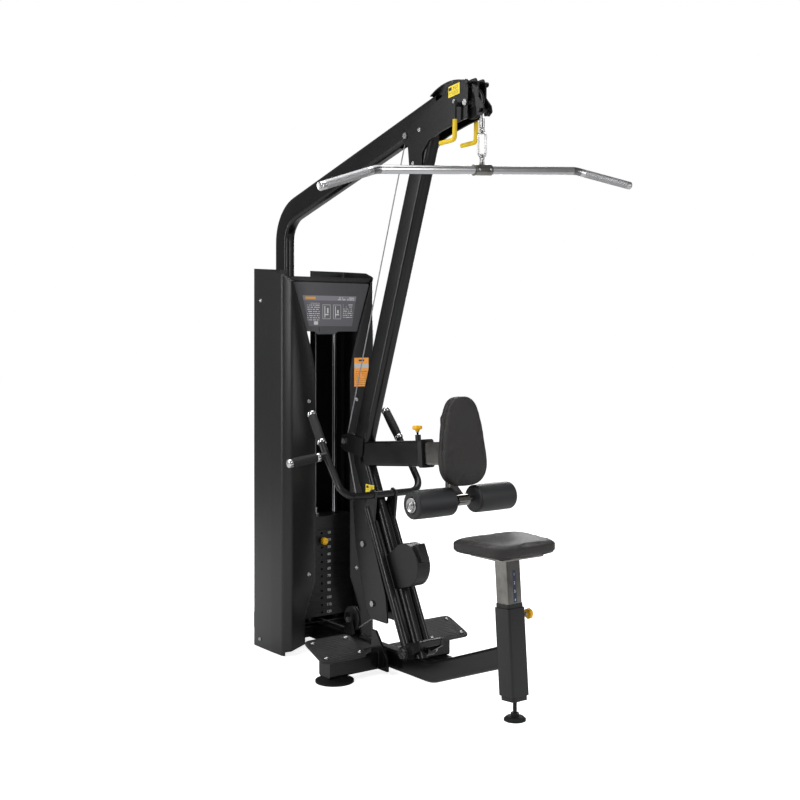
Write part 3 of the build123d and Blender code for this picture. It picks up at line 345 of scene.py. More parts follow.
ink, paleInk, sheetGrey = (0.012,) * 3, (0.50,) * 3, (0.088, 0.085, 0.10)
amber, signOrange, signYellow = (0.62, 0.28, 0.03), (0.80, 0.30, 0.035), (0.82, 0.62, 0.02)
placardRows = [
    (sheetGrey, -1, 1, 1.356, 1.483, 0, 0, 0), ((0.17, 0.165, 0.19), -1, 1, 1.463, 1.483, 0, 0, 0),
    (amber, -0.132, -0.082, 1.468, 1.478, 0, 0, 0), (paleInk, 0.028, 0.112, 1.466, 1.481, 0.0075, 0.5, 90),
    (paleInk, -0.122, -0.062, 1.380, 1.452, 0.0088, 0.36, 160),
    (paleInk, 0.055, 0.104, 1.392, 1.452, 0.0088, 0.36, 160),
    (paleInk, -0.090, -0.070, 1.362, 1.376, 0, 0, 0),
    (paleInk, -0.047, -0.008, 1.386, 1.446, 0, 0, 0), (sheetGrey, -0.0455, -0.0095, 1.3875, 1.4445, 0, 0, 0),
    (paleInk, 0.006, 0.045, 1.386, 1.446, 0, 0, 0), (sheetGrey, 0.0075, 0.0435, 1.3875, 1.4445, 0, 0, 0),
    (paleInk, -0.038, -0.034, 1.392, 1.440, 0, 0, 0), (paleInk, -0.034, -0.018, 1.402, 1.407, 0, 0, 0),
    (paleInk, -0.025, -0.018, 1.410, 1.432, 0, 0, 0), (paleInk, 0.015, 0.019, 1.392, 1.440, 0, 0, 0),
    (paleInk, 0.019, 0.035, 1.402, 1.407, 0, 0, 0), (paleInk, 0.026, 0.033, 1.410, 1.424, 0, 0, 0),
]
signRows = [
    (paleInk, 0, 1, 0.64, 0.80, 0, 0, 0), (ink, 0.08, 0.92, 0.06, 0.58, 0.065, 0.28, 26),
    (ink, 0.30, 0.70, 0.88, 0.94, 0, 0, 0),
]
noticeRows = [
    (ink, 0.08, 0.36, 0.58, 0.88, 0, 0, 0), (ink, 0.44, 0.92, 0.58, 0.88, 0.13, 0.5, 18),
    (ink, 0.08, 0.92, 0.12, 0.48, 0.11, 0.4, 24),
]
scaleRows = [(paleInk, 0.1, 0.9, 0.03, 0.04, 0, 0, 0)]
numeralRows = [(paleInk, -1, 1, -1, 3, 0.0009, 0.4, 300)]
knurl = {"start": 0.506, "end": 0.706, "pitch": 0.0034, "turns": 24.0, "bandStart": 0.448, "bandEnd": 0.486}
materials = {name: coatMaterial(name) for name in coats}
materials["seatVinyl"] = leatherMaterial("seatVinyl", {
    "pebbles": 620, "rough": 0.40, "dark": (0.0075, 0.0060, 0.0056), "light": (0.0150, 0.0120, 0.0115),
    "depth": 0.00045, "specular": 0.5})
materials["gripRubber"] = leatherMaterial("gripRubber", {
    "pebbles": 1400, "rough": 0.50, "dark": (0.007, 0.007, 0.007), "light": (0.014, 0.014, 0.014),
    "depth": 0.00015, "specular": 0.4})
materials["treadRubber"] = leatherMaterial("treadRubber", {
    "pebbles": 900, "rough": 0.56, "dark": (0.007, 0.007, 0.0075), "light": (0.016, 0.016, 0.0165),
    "depth": 0.00020, "specular": 0.45})
materials["knurledSteel"] = knurlMaterial("knurledSteel")
materials["ropeStrands"] = ropeMaterial("ropeStrands")
materials["wireRope"] = wireMaterial("wireRope")
materials["rollerFoam"] = foamMaterial("rollerFoam")
materials["placardPrint"] = printMaterial("placardPrint", across, (0.034, 0.034, 0.038), placardRows, 0.30,
                                          placardSheet)
materials["signPrint"] = printMaterial("signPrint", ownMap, signOrange, signRows, 0.4)
materials["noticePrint"] = printMaterial("noticePrint", ownMap, signYellow, noticeRows, 0.4)
materials["scalePrint"] = printMaterial("scalePrint", ownMap, (0.012, 0.022, 0.055), scaleRows, 0.3)
materials["numeralInk"] = printMaterial("numeralInk", across, (0.55, 0.55, 0.55), numeralRows, 0.5)
print("finishes", len(materials))


def gridMesh(name, points, uv=None):
    # points[i, j] is ring i, step j. Rings run along the piece, steps run round it, and the end rings close on a pole.
    rings, steps, _ = points.shape
    vertices = np.concatenate([points.reshape(-1, 3), points[:1].mean(axis=1), points[-1:].mean(axis=1)])
    i, j = np.meshgrid(np.arange(rings - 1), np.arange(steps), indexing="ij")
    following = (j + 1) % steps
    after = i + 1
    quads = np.stack([i * steps + j, i * steps + following, after * steps + following, after * steps + j], axis=-1)
    ring = np.arange(steps)
    first, last = rings * steps, rings * steps + 1
    startFan = np.stack([np.full(steps, first), (ring + 1) % steps, ring], axis=-1)
    lastRing = (rings - 1) * steps
    endFan = np.stack([np.full(steps, last), lastRing + ring, lastRing + (ring + 1) % steps], axis=-1)
    faces = quads.reshape(-1, 4).tolist() + startFan.tolist() + endFan.tolist()
    mesh = bpy.data.meshes.new(name)
    mesh.from_pydata(vertices.tolist(), [], faces)
    if uv is not None:
        # uv[i, j] in the grid's own order, with one step more round the piece, so that the seam doesn't fold back
        layer = mesh.uv_layers.new(name="UVMap")
        corner = np.stack([uv[i, j], uv[i, j + 1], uv[i + 1, j + 1], uv[i + 1, j]], axis=2).reshape(-1, 2)
        ends = []
        for row in (0, rings - 1):
            pole = uv[row, :-1].mean(axis=0)[None].repeat(steps, 0)
            ends.append(np.stack([pole, uv[row, :-1], uv[row, 1:]], axis=1).reshape(-1, 2))
        layer.data.foreach_set("uv", np.concatenate([corner, *ends]).astype(np.float32).ravel())
    mesh.polygons.foreach_set("use_smooth", np.ones(len(mesh.polygons), dtype=bool))
    piece = bpy.data.objects.new(name, mesh)
    bpy.context.collection.objects.link(piece)
    return piece


def normalised(vector):
    # v / |v|
    vector = np.asarray(vector, float)
    return vector / np.linalg.norm(vector)


def frameAlong(path):
    # unit tangents, and two side vectors carried along the path without twist
    tangents = np.gradient(path, axis=0)
    tangents /= np.linalg.norm(tangents, axis=1, keepdims=True)
    side = np.cross(tangents[0], (0.0, 0.0, 1.0) if abs(tangents[0][2]) < 0.9 else (0.0, 1.0, 0.0))
    sides = []
    for tangent in tangents:
        side = side - tangent * side.dot(tangent)
        side = side / np.linalg.norm(side)
        sides.append(side)
    sides = np.array(sides)
    return tangents, sides, np.cross(tangents, sides)


def roundedPath(points, radii, step=0.004):
    # straight runs with a tangent arc of the given radius at each corner, sampled every step metres
    points = [np.asarray(p, float) for p in points]
    samples, start = [], points[0]
    for before, corner, after, radius in zip(points, points[1:], points[2:], radii):
        way, out = normalised(corner - before), normalised(after - corner)
        turn = math.acos(np.clip(way.dot(out), -1, 1))
        cut = radius * math.tan(turn / 2)
        arcStart, arcEnd = corner - way * cut, corner + out * cut
        centre = arcStart + normalised(out - way * way.dot(out)) * radius
        count = max(2, int(np.linalg.norm(arcStart - start) / step))
        samples.append(np.linspace(start, arcStart, count, endpoint=False))
        angles = np.linspace(0, turn, max(8, int(turn * radius / step)), endpoint=False)[:, None]
        spoke = arcStart - centre
        samples.append(centre + spoke * np.cos(angles) + way * radius * np.sin(angles))
        start = arcEnd
    samples.append(np.linspace(start, points[-1], max(2, int(np.linalg.norm(points[-1] - start) / step))))
    return np.concatenate(samples)


def tube(name, path, radius, steps=32, cap=0.0):
    # circle of radius r carried along the path
    # cap rounds both ends: at each end r falls by cap x (1 - sin) and the ring is inset by cap x (1 - cos)
    tangents, sides, ups = frameAlong(path)
    radii = np.full(len(path), radius) if np.isscalar(radius) else np.asarray(radius, float)
    if cap:
        turn = np.linspace(0, math.pi / 2, 8)[:-1]
        inset, fall = cap * (1 - np.cos(turn)), cap * (1 - np.sin(turn))
        head, tail = path[0] + tangents[0] * inset[:, None], path[-1] - tangents[-1] * inset[::-1, None]
        inner = slice(np.searchsorted(np.linalg.norm(path - path[0], axis=1) > cap, True),
                      len(path) - np.searchsorted(np.linalg.norm(path[::-1] - path[-1], axis=1) > cap, True))
        count = len(turn)
        path = np.concatenate([head, path[inner], tail])
        radii = np.concatenate([radii[0] - fall, radii[inner], radii[-1] - fall[::-1]])
        sides = np.concatenate([sides[:1].repeat(count, 0), sides[inner], sides[-1:].repeat(count, 0)])
        ups = np.concatenate([ups[:1].repeat(count, 0), ups[inner], ups[-1:].repeat(count, 0)])
    lengths = np.concatenate([[0], np.cumsum(np.linalg.norm(np.diff(path, axis=0), axis=1))])
    angle = np.linspace(0, 2 * math.pi, steps, endpoint=False)
    ring = np.cos(angle)[None, :, None] * sides[:, None] + np.sin(angle)[None, :, None] * ups[:, None]
    points = path[:, None] + radii[:, None, None] * ring
    u, v = np.meshgrid(np.linspace(0, 1, steps + 1), lengths - lengths[-1] / 2)
    return gridMesh(name, points, uv=np.stack([u, v], axis=-1))


def turned(name, origin, direction, profile, steps=48, shape=None):
    # the profile (distance along the axis, radius) spun about the axis; shape(angle, ring) scales the radius
    axis = normalised(direction)
    side = normalised(np.cross(axis, (0.0, 0.0, 1.0) if abs(axis[2]) < 0.9 else (1.0, 0.0, 0.0)))
    up = np.cross(axis, side)
    profile = np.asarray(profile, float)
    angle = np.linspace(0, 2 * math.pi, steps, endpoint=False)
    radius = profile[:, 1][:, None] * np.ones(steps)
    if shape is not None:
        radius = radius * shape(angle, np.arange(len(profile)))
    ring = np.cos(angle)[:, None] * side + np.sin(angle)[:, None] * up
    points = np.asarray(origin, float) + profile[:, 0][:, None, None] * axis + radius[..., None] * ring
    u, v = np.meshgrid(np.linspace(0, 1, steps + 1), profile[:, 0])
    return gridMesh(name, points, uv=np.stack([u, v], axis=-1))


def sheetPiece(name, corners, thick):
    # a flat plate from its corners, with its printed side's UV running 0 to 1 from the first corner
    corners = np.asarray(corners, float)
    normal = normalised(np.cross(corners[1] - corners[0], corners[-1] - corners[0]))
    count = len(corners)
    low = corners - normal * thick
    faces = [list(range(count)), list(range(2 * count - 1, count - 1, -1))]
    faces += [[i, count + i, count + (i + 1) % count, (i + 1) % count] for i in range(count)]
    mesh = bpy.data.meshes.new(name)
    mesh.from_pydata(np.concatenate([corners, low]).tolist(), [], faces)
    bottom = corners[1] - corners[0]
    up = np.cross(normal, normalised(bottom))
    width = np.linalg.norm(bottom)
    rows = (corners - corners[0]) @ up
    spots = np.stack([(corners - corners[0]) @ bottom / width ** 2, rows / rows.max()], axis=1)
    spots = np.concatenate([spots, spots])
    layer = mesh.uv_layers.new(name="UVMap")
    index = np.zeros(len(mesh.loops), dtype=np.int32)
    mesh.loops.foreach_get("vertex_index", index)
    layer.data.foreach_set("uv", spots[index].astype(np.float32).ravel())
    piece = bpy.data.objects.new(name, mesh)
    bpy.context.collection.objects.link(piece)
    return piece


def fit(piece, body, slot, material, *stands):
    # the calls that every piece needs: its finish, the body that it rides on and the nodes that it stands for; the slot
    # is not used
    piece.data.materials.clear()
    piece.data.materials.append(materials[material])
    if body:
        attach(piece, body)
    if stands:
        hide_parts(*stands)
    return piece


edges = {"merge": 0.00001, "sharp": math.radians(32)}


def softEdges():
    # geometry nodes: merge the loose triangles, then shade smooth except where faces meet at more than the angle
    group = bpy.data.node_groups.new("softEdges", "GeometryNodeTree")
    group.interface.new_socket("Geometry", in_out="INPUT", socket_type="NodeSocketGeometry")
    group.interface.new_socket("Geometry", in_out="OUTPUT", socket_type="NodeSocketGeometry")
    new, link = group.nodes.new, group.links.new
    start, end = new("NodeGroupInput"), new("NodeGroupOutput")
    merge = new("GeometryNodeMergeByDistance")
    merge.inputs["Distance"].default_value = edges["merge"]
    angle = new("GeometryNodeInputMeshEdgeAngle")
    small = new("FunctionNodeCompare")
    small.data_type, small.operation = "FLOAT", "LESS_THAN"
    small.inputs[1].default_value = edges["sharp"]
    onFaces, onEdges = new("GeometryNodeSetShadeSmooth"), new("GeometryNodeSetShadeSmooth")
    onFaces.domain, onEdges.domain = "FACE", "EDGE"
    link(start.outputs[0], merge.inputs[0])
    link(merge.outputs[0], onFaces.inputs[0])
    link(onFaces.outputs[0], onEdges.inputs[0])
    link(angle.outputs[0], small.inputs[0])
    link(small.outputs[0], onEdges.inputs["Shade Smooth"])
    link(onEdges.outputs[0], end.inputs[0])
    return group


nodeFinish = {
    "frameCoat": ["boom_post", "upright", "chest_pad_tube", "base_rail", "cross_beam", "tower_base", "boom_gussets",
                  "pulley_carrier", "tower_brackets", "cable_guide"],
    "armCoat": ["row_arm", "seat_sleeve"],
    "shroudCoat": ["left_shroud", "right_shroud", "tower_cap"],
    "coverCoat": ["pulley_covers"],
    "zincPlate": ["pulley_axles", "pivot_shaft", "roller_axle", "cable_end", "selector_stem"],
    "chromePlate": ["guide_rods", "carabiner"],
    "agedChrome": ["seat_tube", "bar_hanger", "pad_slide"],
    "placardPrint": ["placard_panel"],
    "blackRubber": ["rubber_feet", "stack_bumpers", "seat_foot"],
    "sleeveVinyl": ["hook_sleeves"],
    "blackPlastic": ["sleeve_collars", "pin_housings", "bar_hooks"],
    "ironPaint": ["resting_plates", "lifted_plates", "head_plate"],
    "pulleyNylon": [name for name in nodes if name.endswith("_pulley")],
    "wireRope": ["cable_run"],
}
softGroup = softEdges()
for finishName, names in nodeFinish.items():
    for name in names:
        part = nodes[name]
        part.data.materials.clear()
        part.data.materials.append(materials[finishName])
        part.modifiers.new("softEdges", "NODES").node_group = softGroup
print("frame dressed")


view = {"place": (-2.734, back(-3.176), 1.319), "towards": (0.5983, 0.8013, 0.0), "lens": 53.1, "shift": -0.08125}
camera = bpy.data.objects.new("camera", bpy.data.cameras.new("camera"))
bpy.context.collection.objects.link(camera)
camera.location = view["place"]
camera.rotation_euler = (math.pi / 2, 0, math.atan2(-view["towards"][0], view["towards"][1]))
camera.data.lens, camera.data.shift_y = view["lens"], view["shift"]
bpy.context.scene.camera = camera


def studio():
    # a wide floor, a white room that lights less than it shows, and soft panels turned to the machine's middle
    reach = roomLight["floorReach"]
    corners = [(-reach, -reach, 0), (reach, -reach, 0), (reach, reach, 0), (-reach, reach, 0)]
    floor = sheetPiece("studioFloor", corners, 0.05)
    paint = Paint("studioPaint")
    speckle = paint.noise(paint.point(), 40, 3)
    floor.data.materials.append(paint.finish(
        colour=paint.mix((0.90, 0.90, 0.90), (0.93, 0.93, 0.93), speckle), roughness=0.8, specular=0.05))
    nodesOf, join = paint.tree.nodes, paint.tree.links.new
    glow, both = nodesOf.new("ShaderNodeEmission"), nodesOf.new("ShaderNodeAddShader")
    glow.inputs["Strength"].default_value = roomLight["floorGlow"]
    seen, eye = nodesOf.new("ShaderNodeMixShader"), nodesOf.new("ShaderNodeLightPath")
    join(paint.shader.outputs[0], both.inputs[0])
    join(glow.outputs[0], both.inputs[1])
    join(eye.outputs["Is Camera Ray"], seen.inputs[0])
    join(paint.shader.outputs[0], seen.inputs[1])
    join(both.outputs[0], seen.inputs[2])
    join(seen.outputs[0], nodesOf["Material Output"].inputs["Surface"])
    bpy.context.scene.view_settings.view_transform = "Standard"
    world = bpy.data.worlds.new("room")
    bpy.context.scene.world = world
    world.use_nodes = True
    tree = world.node_tree
    shown, cast = tree.nodes["Background"], tree.nodes.new("ShaderNodeBackground")
    for background, strength in ((shown, roomLight["shown"]), (cast, roomLight["cast"])):
        background.inputs["Color"].default_value = (1, 1, 1, 1)
        background.inputs["Strength"].default_value = strength
    choice, ray = tree.nodes.new("ShaderNodeMixShader"), tree.nodes.new("ShaderNodeLightPath")
    tree.links.new(ray.outputs["Is Camera Ray"], choice.inputs[0])
    tree.links.new(cast.outputs[0], choice.inputs[1])
    tree.links.new(shown.outputs[0], choice.inputs[2])
    tree.links.new(choice.outputs[0], tree.nodes["World Output"].inputs["Surface"])
    for name, (place, width, height, power) in panels.items():
        lamp = bpy.data.lights.new(name, "AREA")
        lamp.shape, lamp.size, lamp.size_y, lamp.energy = "RECTANGLE", width, height, power
        lampObject = bpy.data.objects.new(name, lamp)
        bpy.context.collection.objects.link(lampObject)
        lampObject.location = place
        aim = np.array(roomLight["aim"]) - np.array(place)
        flat = math.hypot(aim[0], aim[1])
        lampObject.rotation_euler = (math.atan2(flat, -aim[2]), 0, math.atan2(-aim[0], aim[1]))


roomLight = {"shown": 1.0, "cast": 0.24, "floorGlow": 0.80, "floorReach": 30, "aim": (0.0, 0.1, 1.0)}
panels = {
    # place, width, height, power
    "keyPanel": ((-3.6, -1.6, 2.6), 0.6, 3.2, 70), "sidePanel": ((-3.4, 2.4, 2.0), 0.5, 3.2, 50),
    "fillPanel": ((1.6, -3.8, 2.2), 0.6, 2.6, 45), "topPanel": ((0.0, 0.0, 5.0), 3.5, 3.5, 130),
    "rimPanel": ((3.0, 2.6, 2.6), 0.8, 2.6, 45),
}
studio()
print("studio")


def latBar():
    # a straight middle and two bent ends in one plane, the whole tilted about the hanging point
    values = {"bendAt": 0.464, "end": 0.718, "drop": 0.074, "bend": 0.110, "radius": 0.015, "tilt": math.radians(4.4),
              "roll": math.radians(34.8), "screwAt": 0.026, "collarFace": 0.0195}
    tilt, roll = values["tilt"], values["roll"]
    along = np.array((math.cos(tilt), 0, math.sin(tilt)))
    up = np.array((-math.sin(tilt) * math.cos(roll), math.sin(roll), math.cos(tilt) * math.cos(roll)))
    centre = np.array(joints["bar_roll"]["pos_m"])
    bend, end, drop = values["bendAt"], values["end"], values["drop"]
    spots = [(-end, -drop), (-bend, 0), (bend, 0), (end, -drop)]
    path = roundedPath([centre + along * a + up * h for a, h in spots], [values["bend"]] * 2, 0.003)
    fit(tube("latBarShaft", path, values["radius"], 48, 0.0035), "lat_bar", "satin_steel", "knurledSteel", "lat_bar")
    # two set screws in the collar
    for label, side in (("A", -1), ("B", 1)):
        place = centre + along * side * values["screwAt"] + np.array((0, -values["collarFace"], 0))
        screw = turned(f"collarScrew{label}", place, (0, -1, 0), hexHead(0.0045, 0.002), 36, hexSocket(4))
        fit(screw, "bar_hanger", "zinc_hardware", "zincPlate")


def hexHead(radius, height):
    # button head: a quarter-circle dome, then the rim and wall of a hexagonal socket
    turn = np.linspace(0, math.pi / 2, 7)
    dome = [(height * math.sin(a), radius * (0.55 + 0.45 * math.cos(a))) for a in turn[1:]]
    socket = [(height, radius * 0.46), (height * 0.3, radius * 0.43), (height * 0.25, radius * 0.05)]
    return [(-0.0006, radius * 0.96), (0, radius)] + dome + socket


def hexSocket(rings):
    # the last rings follow a hexagon: r / cos of the angle from the nearest flat
    def shape(angle, ring):
        flat = (angle + math.pi / 6) % (math.pi / 3) - math.pi / 6
        hexagon = 0.92 / np.cos(flat)
        inside = ring >= len(ring) - rings + 1
        return np.where(inside[:, None], hexagon[None, :], 1.0)
    return shape


def bolts():
    # one button-head bolt for each that holds the frame, the tower and the foot plates
    spots = []
    seat, wall, front = 0.0315, 0.232, back(0.955)
    tilt = tread["tilt"]
    lift = np.array((0, -math.sin(tilt), math.cos(tilt)))
    headPlate = ((0.322, 2.087), (0.118, 2.161), (0.362, 1.966))
    for side in (-1, 1):
        spots += [((side * seat, back(y), z), (side, 0, 0)) for y, z in headPlate]
        spots += [((side * wall, back(y), z), (side, 0, 0)) for y, z in ((1.153, 1.464), (1.161, 0.038))]
        spots += [((side * 0.119, front, z), (0, -1, 0)) for z in (1.045, 0.330)]
        middle = np.array((side * tread["side"], back(tread["behind"]), tread["height"]))
        for x in (-tread["boltX"], tread["boltX"]):
            for h in (-tread["boltY"], tread["boltY"]):
                spots.append((middle + np.array((x, h * math.cos(tilt), h * math.sin(tilt))) + lift * 0.0045, lift))
    for index, (place, way) in enumerate(spots):
        piece = turned(f"frameBolt{index:02d}", place, way, hexHead(0.0085, 0.0048), 36, hexSocket(4))
        fit(piece, "frame", "zinc_hardware", "zincPlate", *(["frame_bolts"] if index == 0 else []))


def hangingCable(name, y, low, high, node):
    # straight rope down the height of the cable node, fixed to no body, so neither end follows the moving body
    path = np.linspace((0, y, high), (0, y, low), cable["rings"])
    piece = fit(tube(name, path, cable["radius"], cable["sides"]), None, "steel_rope", "ropeStrands", node)
    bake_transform(piece)


def knob(name, origin, way, body, slot, material, values, stands=()):
    # fluted knob: r = R (1 + flute x cos(n a)) on the rings of its rim, with a domed top
    depth, radius, neck = values["depth"], values["radius"], values["neck"]
    profile = [(0, neck * 0.9), (0, neck), (values["stem"], neck), (values["stem"] + 0.001, radius * 0.80),
               (values["stem"] + 0.003, radius * 0.97), (values["stem"] + 0.006, radius), (depth - 0.005, radius),
               (depth - 0.002, radius * 0.95), (depth - 0.0005, radius * 0.82), (depth, radius * 0.6),
               (depth, radius * 0.34), (depth - 0.001, radius * 0.30), (depth - 0.001, radius * 0.05)]

    def flutes(angle, ring):
        rim = (ring >= 4) & (ring <= 7)
        wave = 1 + values["flute"] * (np.abs(np.cos(values["count"] / 2 * angle)) - 1)
        return np.where(rim[:, None], wave[None, :], 1.0)

    return fit(turned(name, origin, way, profile, 96, flutes), body, slot, material, *stands)


def pullPins():
    # spring pins on the seat sleeve and on the pad tube: steel shaft, collar ring and orange knob
    for joint, label, node in (("seat_pin_pull", "seatPin", "seat_pin"), ("pad_pin_pull", "padPin", "pad_pin")):
        way = normalised(joints[joint]["axis"])
        low, high = (np.array(corner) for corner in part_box(node))
        tip = np.where(way > 0.5, high, (low + high) / 2)
        if label == "padPin":
            # the pin leans back with the pad tube, so its end is measured along its own line
            middle = (low + high) / 2
            tip = middle + way * (high - low)[2] / 2 * 0.985
        shaft = [(0, 0.003), (0.001, 0.004), (0.036, 0.004), (0.036, 0.0065), (0.046, 0.0065)]
        fit(turned(label + "Shaft", tip - way * 0.0625, way, shaft, 32), joints[joint]["child"],
            "zinc_hardware", "zincPlate", node)
        knob(label + "Knob", tip - way * 0.022, way, joints[joint]["child"], "knob_orange", "orangePlastic",
             {"depth": 0.022, "radius": 0.019, "neck": 0.0085, "stem": 0.005, "flute": 0.10, "count": 8})


def selectorPin():
    # a plain rod through the plates with a fluted knob in front of them
    low, high = (np.array(corner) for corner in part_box("selector_pin"))
    middle = (low + high) / 2
    face = np.array((middle[0], high[1] - 0.0758, middle[2]))
    knob("selectorKnob", face, (0, -1, 0), "selector_pin", "knob_orange", "orangePlastic",
         {"depth": 0.028, "radius": 0.015, "neck": 0.008, "stem": 0.006, "flute": 0.06, "count": 10}, ["selector_pin"])
    rod = [(0, 0.0015), (0.0015, 0.004), (0.003, 0.0045), (0.077, 0.0045)]
    fit(turned("selectorRod", (middle[0], high[1], middle[2]), (0, -1, 0), rod, 24), "selector_pin",
        "zinc_hardware", "zincPlate")


lean = math.atan2(0.243, 0.313)
handleUp = np.array((0, math.sin(lean), math.cos(lean)))
handleFoot = np.array((0, back(0.592), 0.692))


def grips():
    # each grip: rubber sleeve with rings, r = R + ring x |cos|, between two chrome collars, and a domed knob
    values = {"tube": 0.014, "sleeve": 0.0175, "collar": 0.0185, "ring": 0.0014}
    first = True
    for side in (-1, 1):
        upper = handleFoot + handleUp * 0.396 + np.array((side * 0.183, 0, 0))
        upperLeg = handleFoot + handleUp * 0.206 + np.array((side * 0.193, 0, 0))
        outer = np.array((side * 0.350, back(0.735), 0.822))
        outerFoot = handleFoot + handleUp * 0.194 + np.array((side * 0.193, 0, 0))
        for label, tip, foot, length in (("Upper", upper, upperLeg, 0.146), ("Outer", outer, outerFoot, 0.132)):
            way = normalised(tip - foot)
            name = f"row{label}{'Left' if side < 0 else 'Right'}"
            run = np.linspace(-length + 0.0145, -0.0145, 120)
            ribs = np.abs(np.sin(np.linspace(0, math.pi * 16, 120)))
            swell = 0.0012 * np.sin(np.linspace(0, math.pi, 120))
            inner, outside = values["tube"] + 0.0005, values["sleeve"] - values["ring"]
            rings = [(a, outside + values["ring"] * rib ** 0.35 + s) for a, rib, s in zip(run, ribs, swell)]
            sleeve = [(run[0], inner)] + rings + [(run[-1], inner)]
            fit(turned(name + "Grip", tip, way, sleeve, 48), "row_arm", "black_rubber", "gripRubber",
                *(["row_grips"] if first else []))
            r = values["collar"]
            collar = [(-length, 0.0144), (-length, r - 0.001), (-length + 0.001, r), (-length + 0.0128, r),
                      (-length + 0.0138, r - 0.001), (-length + 0.0138, 0.0144)]
            fit(turned(name + "Collar", tip, way, collar, 48), "row_arm", "chrome", "chromePlate",
                *(["grip_collars"] if first else []))
            turn = np.linspace(0, math.pi / 2, 10)
            end = [(-0.0138, 0.0144), (-0.0138, r - 0.001), (-0.0128, r)] + [
                (-0.002 + 0.009 * math.sin(a), r * math.cos(a) ** 0.6 if a < 1.55 else 0.0006) for a in turn]
            fit(turned(name + "Knob", tip, way, end, 48), "row_arm", "chrome", "chromePlate")
            first = False


def footPlates():
    # a rounded rectangle; its top carries ridges along X, h = ridge x |sin|^0.6, faded out near the rim
    halfWidth, halfDepth = tread["width"] / 2, tread["depth"] / 2
    angle = np.linspace(0, 2 * math.pi, 240, endpoint=False)
    outline = np.stack(superRing(angle, halfWidth, halfDepth, tread["squareness"]), axis=1)
    scale = np.concatenate([[1 - 0.012, 1.0, 1.0, 1 - 0.004, 1 - 0.014], np.linspace(0.965, 0.02, 110)])
    height = np.concatenate([[-0.0045, -0.0040, 0.0025, 0.0040, 0.0045], np.full(110, 0.0045)])
    flat = outline[None] * scale[:, None, None]
    fadeX = np.clip((1 - np.abs(flat[..., 0]) / (halfWidth - 0.010)) * 14, 0, 1)
    fadeY = np.clip((1 - np.abs(flat[..., 1]) / (halfDepth - 0.008)) * 14, 0, 1)
    wave = np.abs(np.sin(math.pi * tread["count"] * flat[..., 1] / tread["depth"])) ** 0.6
    hole = np.ones_like(wave)
    for x in (-tread["boltX"], tread["boltX"]):
        for y in (-tread["boltY"], tread["boltY"]):
            away = np.hypot(flat[..., 0] - x, flat[..., 1] - y) - tread["boltClear"]
            hole = np.minimum(hole, np.clip(away / 0.002, 0, 1))
    onTop = (np.arange(len(scale)) > 4)[:, None]
    lift = height[:, None] + onTop * (wave * (fadeX * fadeY) * hole - 1) * tread["ridge"]
    tilt = tread["tilt"]
    for side, label in ((-1, "left"), (1, "right")):
        x = side * tread["side"] + flat[..., 0]
        y = back(tread["behind"]) + flat[..., 1] * math.cos(tilt) - lift * math.sin(tilt)
        z = tread["height"] + flat[..., 1] * math.sin(tilt) + lift * math.cos(tilt)
        piece = gridMesh(label + "Tread", np.stack([x, y, z], axis=-1))
        fit(piece, "frame", "black_rubber", "treadRubber", *(["foot_plates"] if side < 0 else []))


def superRing(angle, halfWidth, halfHeight, power):
    # superellipse point at an angle, by its radius from the centre
    c, s = np.cos(angle), np.sin(angle)
    reach = (np.abs(c / halfWidth) ** power + np.abs(s / halfHeight) ** power) ** (-1 / power)
    return c * reach, s * reach


cloth = {"pressure": 4.0, "stiffness": 12, "frames": 20}


def puffed(piece, voxel, cap):
    # cloth inflated from inside: each point keeps at most cap metres of the movement
    scene = bpy.context.scene
    remesh = piece.modifiers.new("remesh", "REMESH")
    remesh.mode, remesh.voxel_size = "VOXEL", voxel
    bake(piece)
    start = coordinates(piece.data)
    skin = piece.modifiers.new("cloth", "CLOTH")
    skin.settings.use_pressure = True
    skin.settings.uniform_pressure_force = cloth["pressure"]
    skin.settings.tension_stiffness = cloth["stiffness"]
    skin.settings.effector_weights.gravity = 0
    skin.point_cache.frame_start, skin.point_cache.frame_end = 1, cloth["frames"]
    for step in range(1, cloth["frames"] + 1):
        scene.frame_set(step)
    bake(piece)
    moved = coordinates(piece.data) - start
    size = np.linalg.norm(moved, axis=1, keepdims=True)
    setCoordinates(piece.data, start + moved * np.minimum(1, cap / np.maximum(size, 1e-9)))
    scene.frame_set(1)


def coordinates(mesh):
    # every vertex as one row of an array
    flat = np.zeros(len(mesh.vertices) * 3, dtype=np.float32)
    mesh.vertices.foreach_get("co", flat)
    return flat.reshape(-1, 3).astype(float)


def setCoordinates(mesh, points):
    # the array's rows go back to the vertices
    mesh.vertices.foreach_set("co", np.asarray(points, np.float32).ravel())
    mesh.update()


def bake(piece):
    # the modifiers' result becomes the mesh
    graph = bpy.context.evaluated_depsgraph_get()
    graph.update()
    mesh = bpy.data.meshes.new_from_object(piece.evaluated_get(graph), depsgraph=graph)
    piece.modifiers.clear()
    piece.data = mesh
    mesh.polygons.foreach_set("use_smooth", np.ones(len(mesh.polygons), dtype=bool))


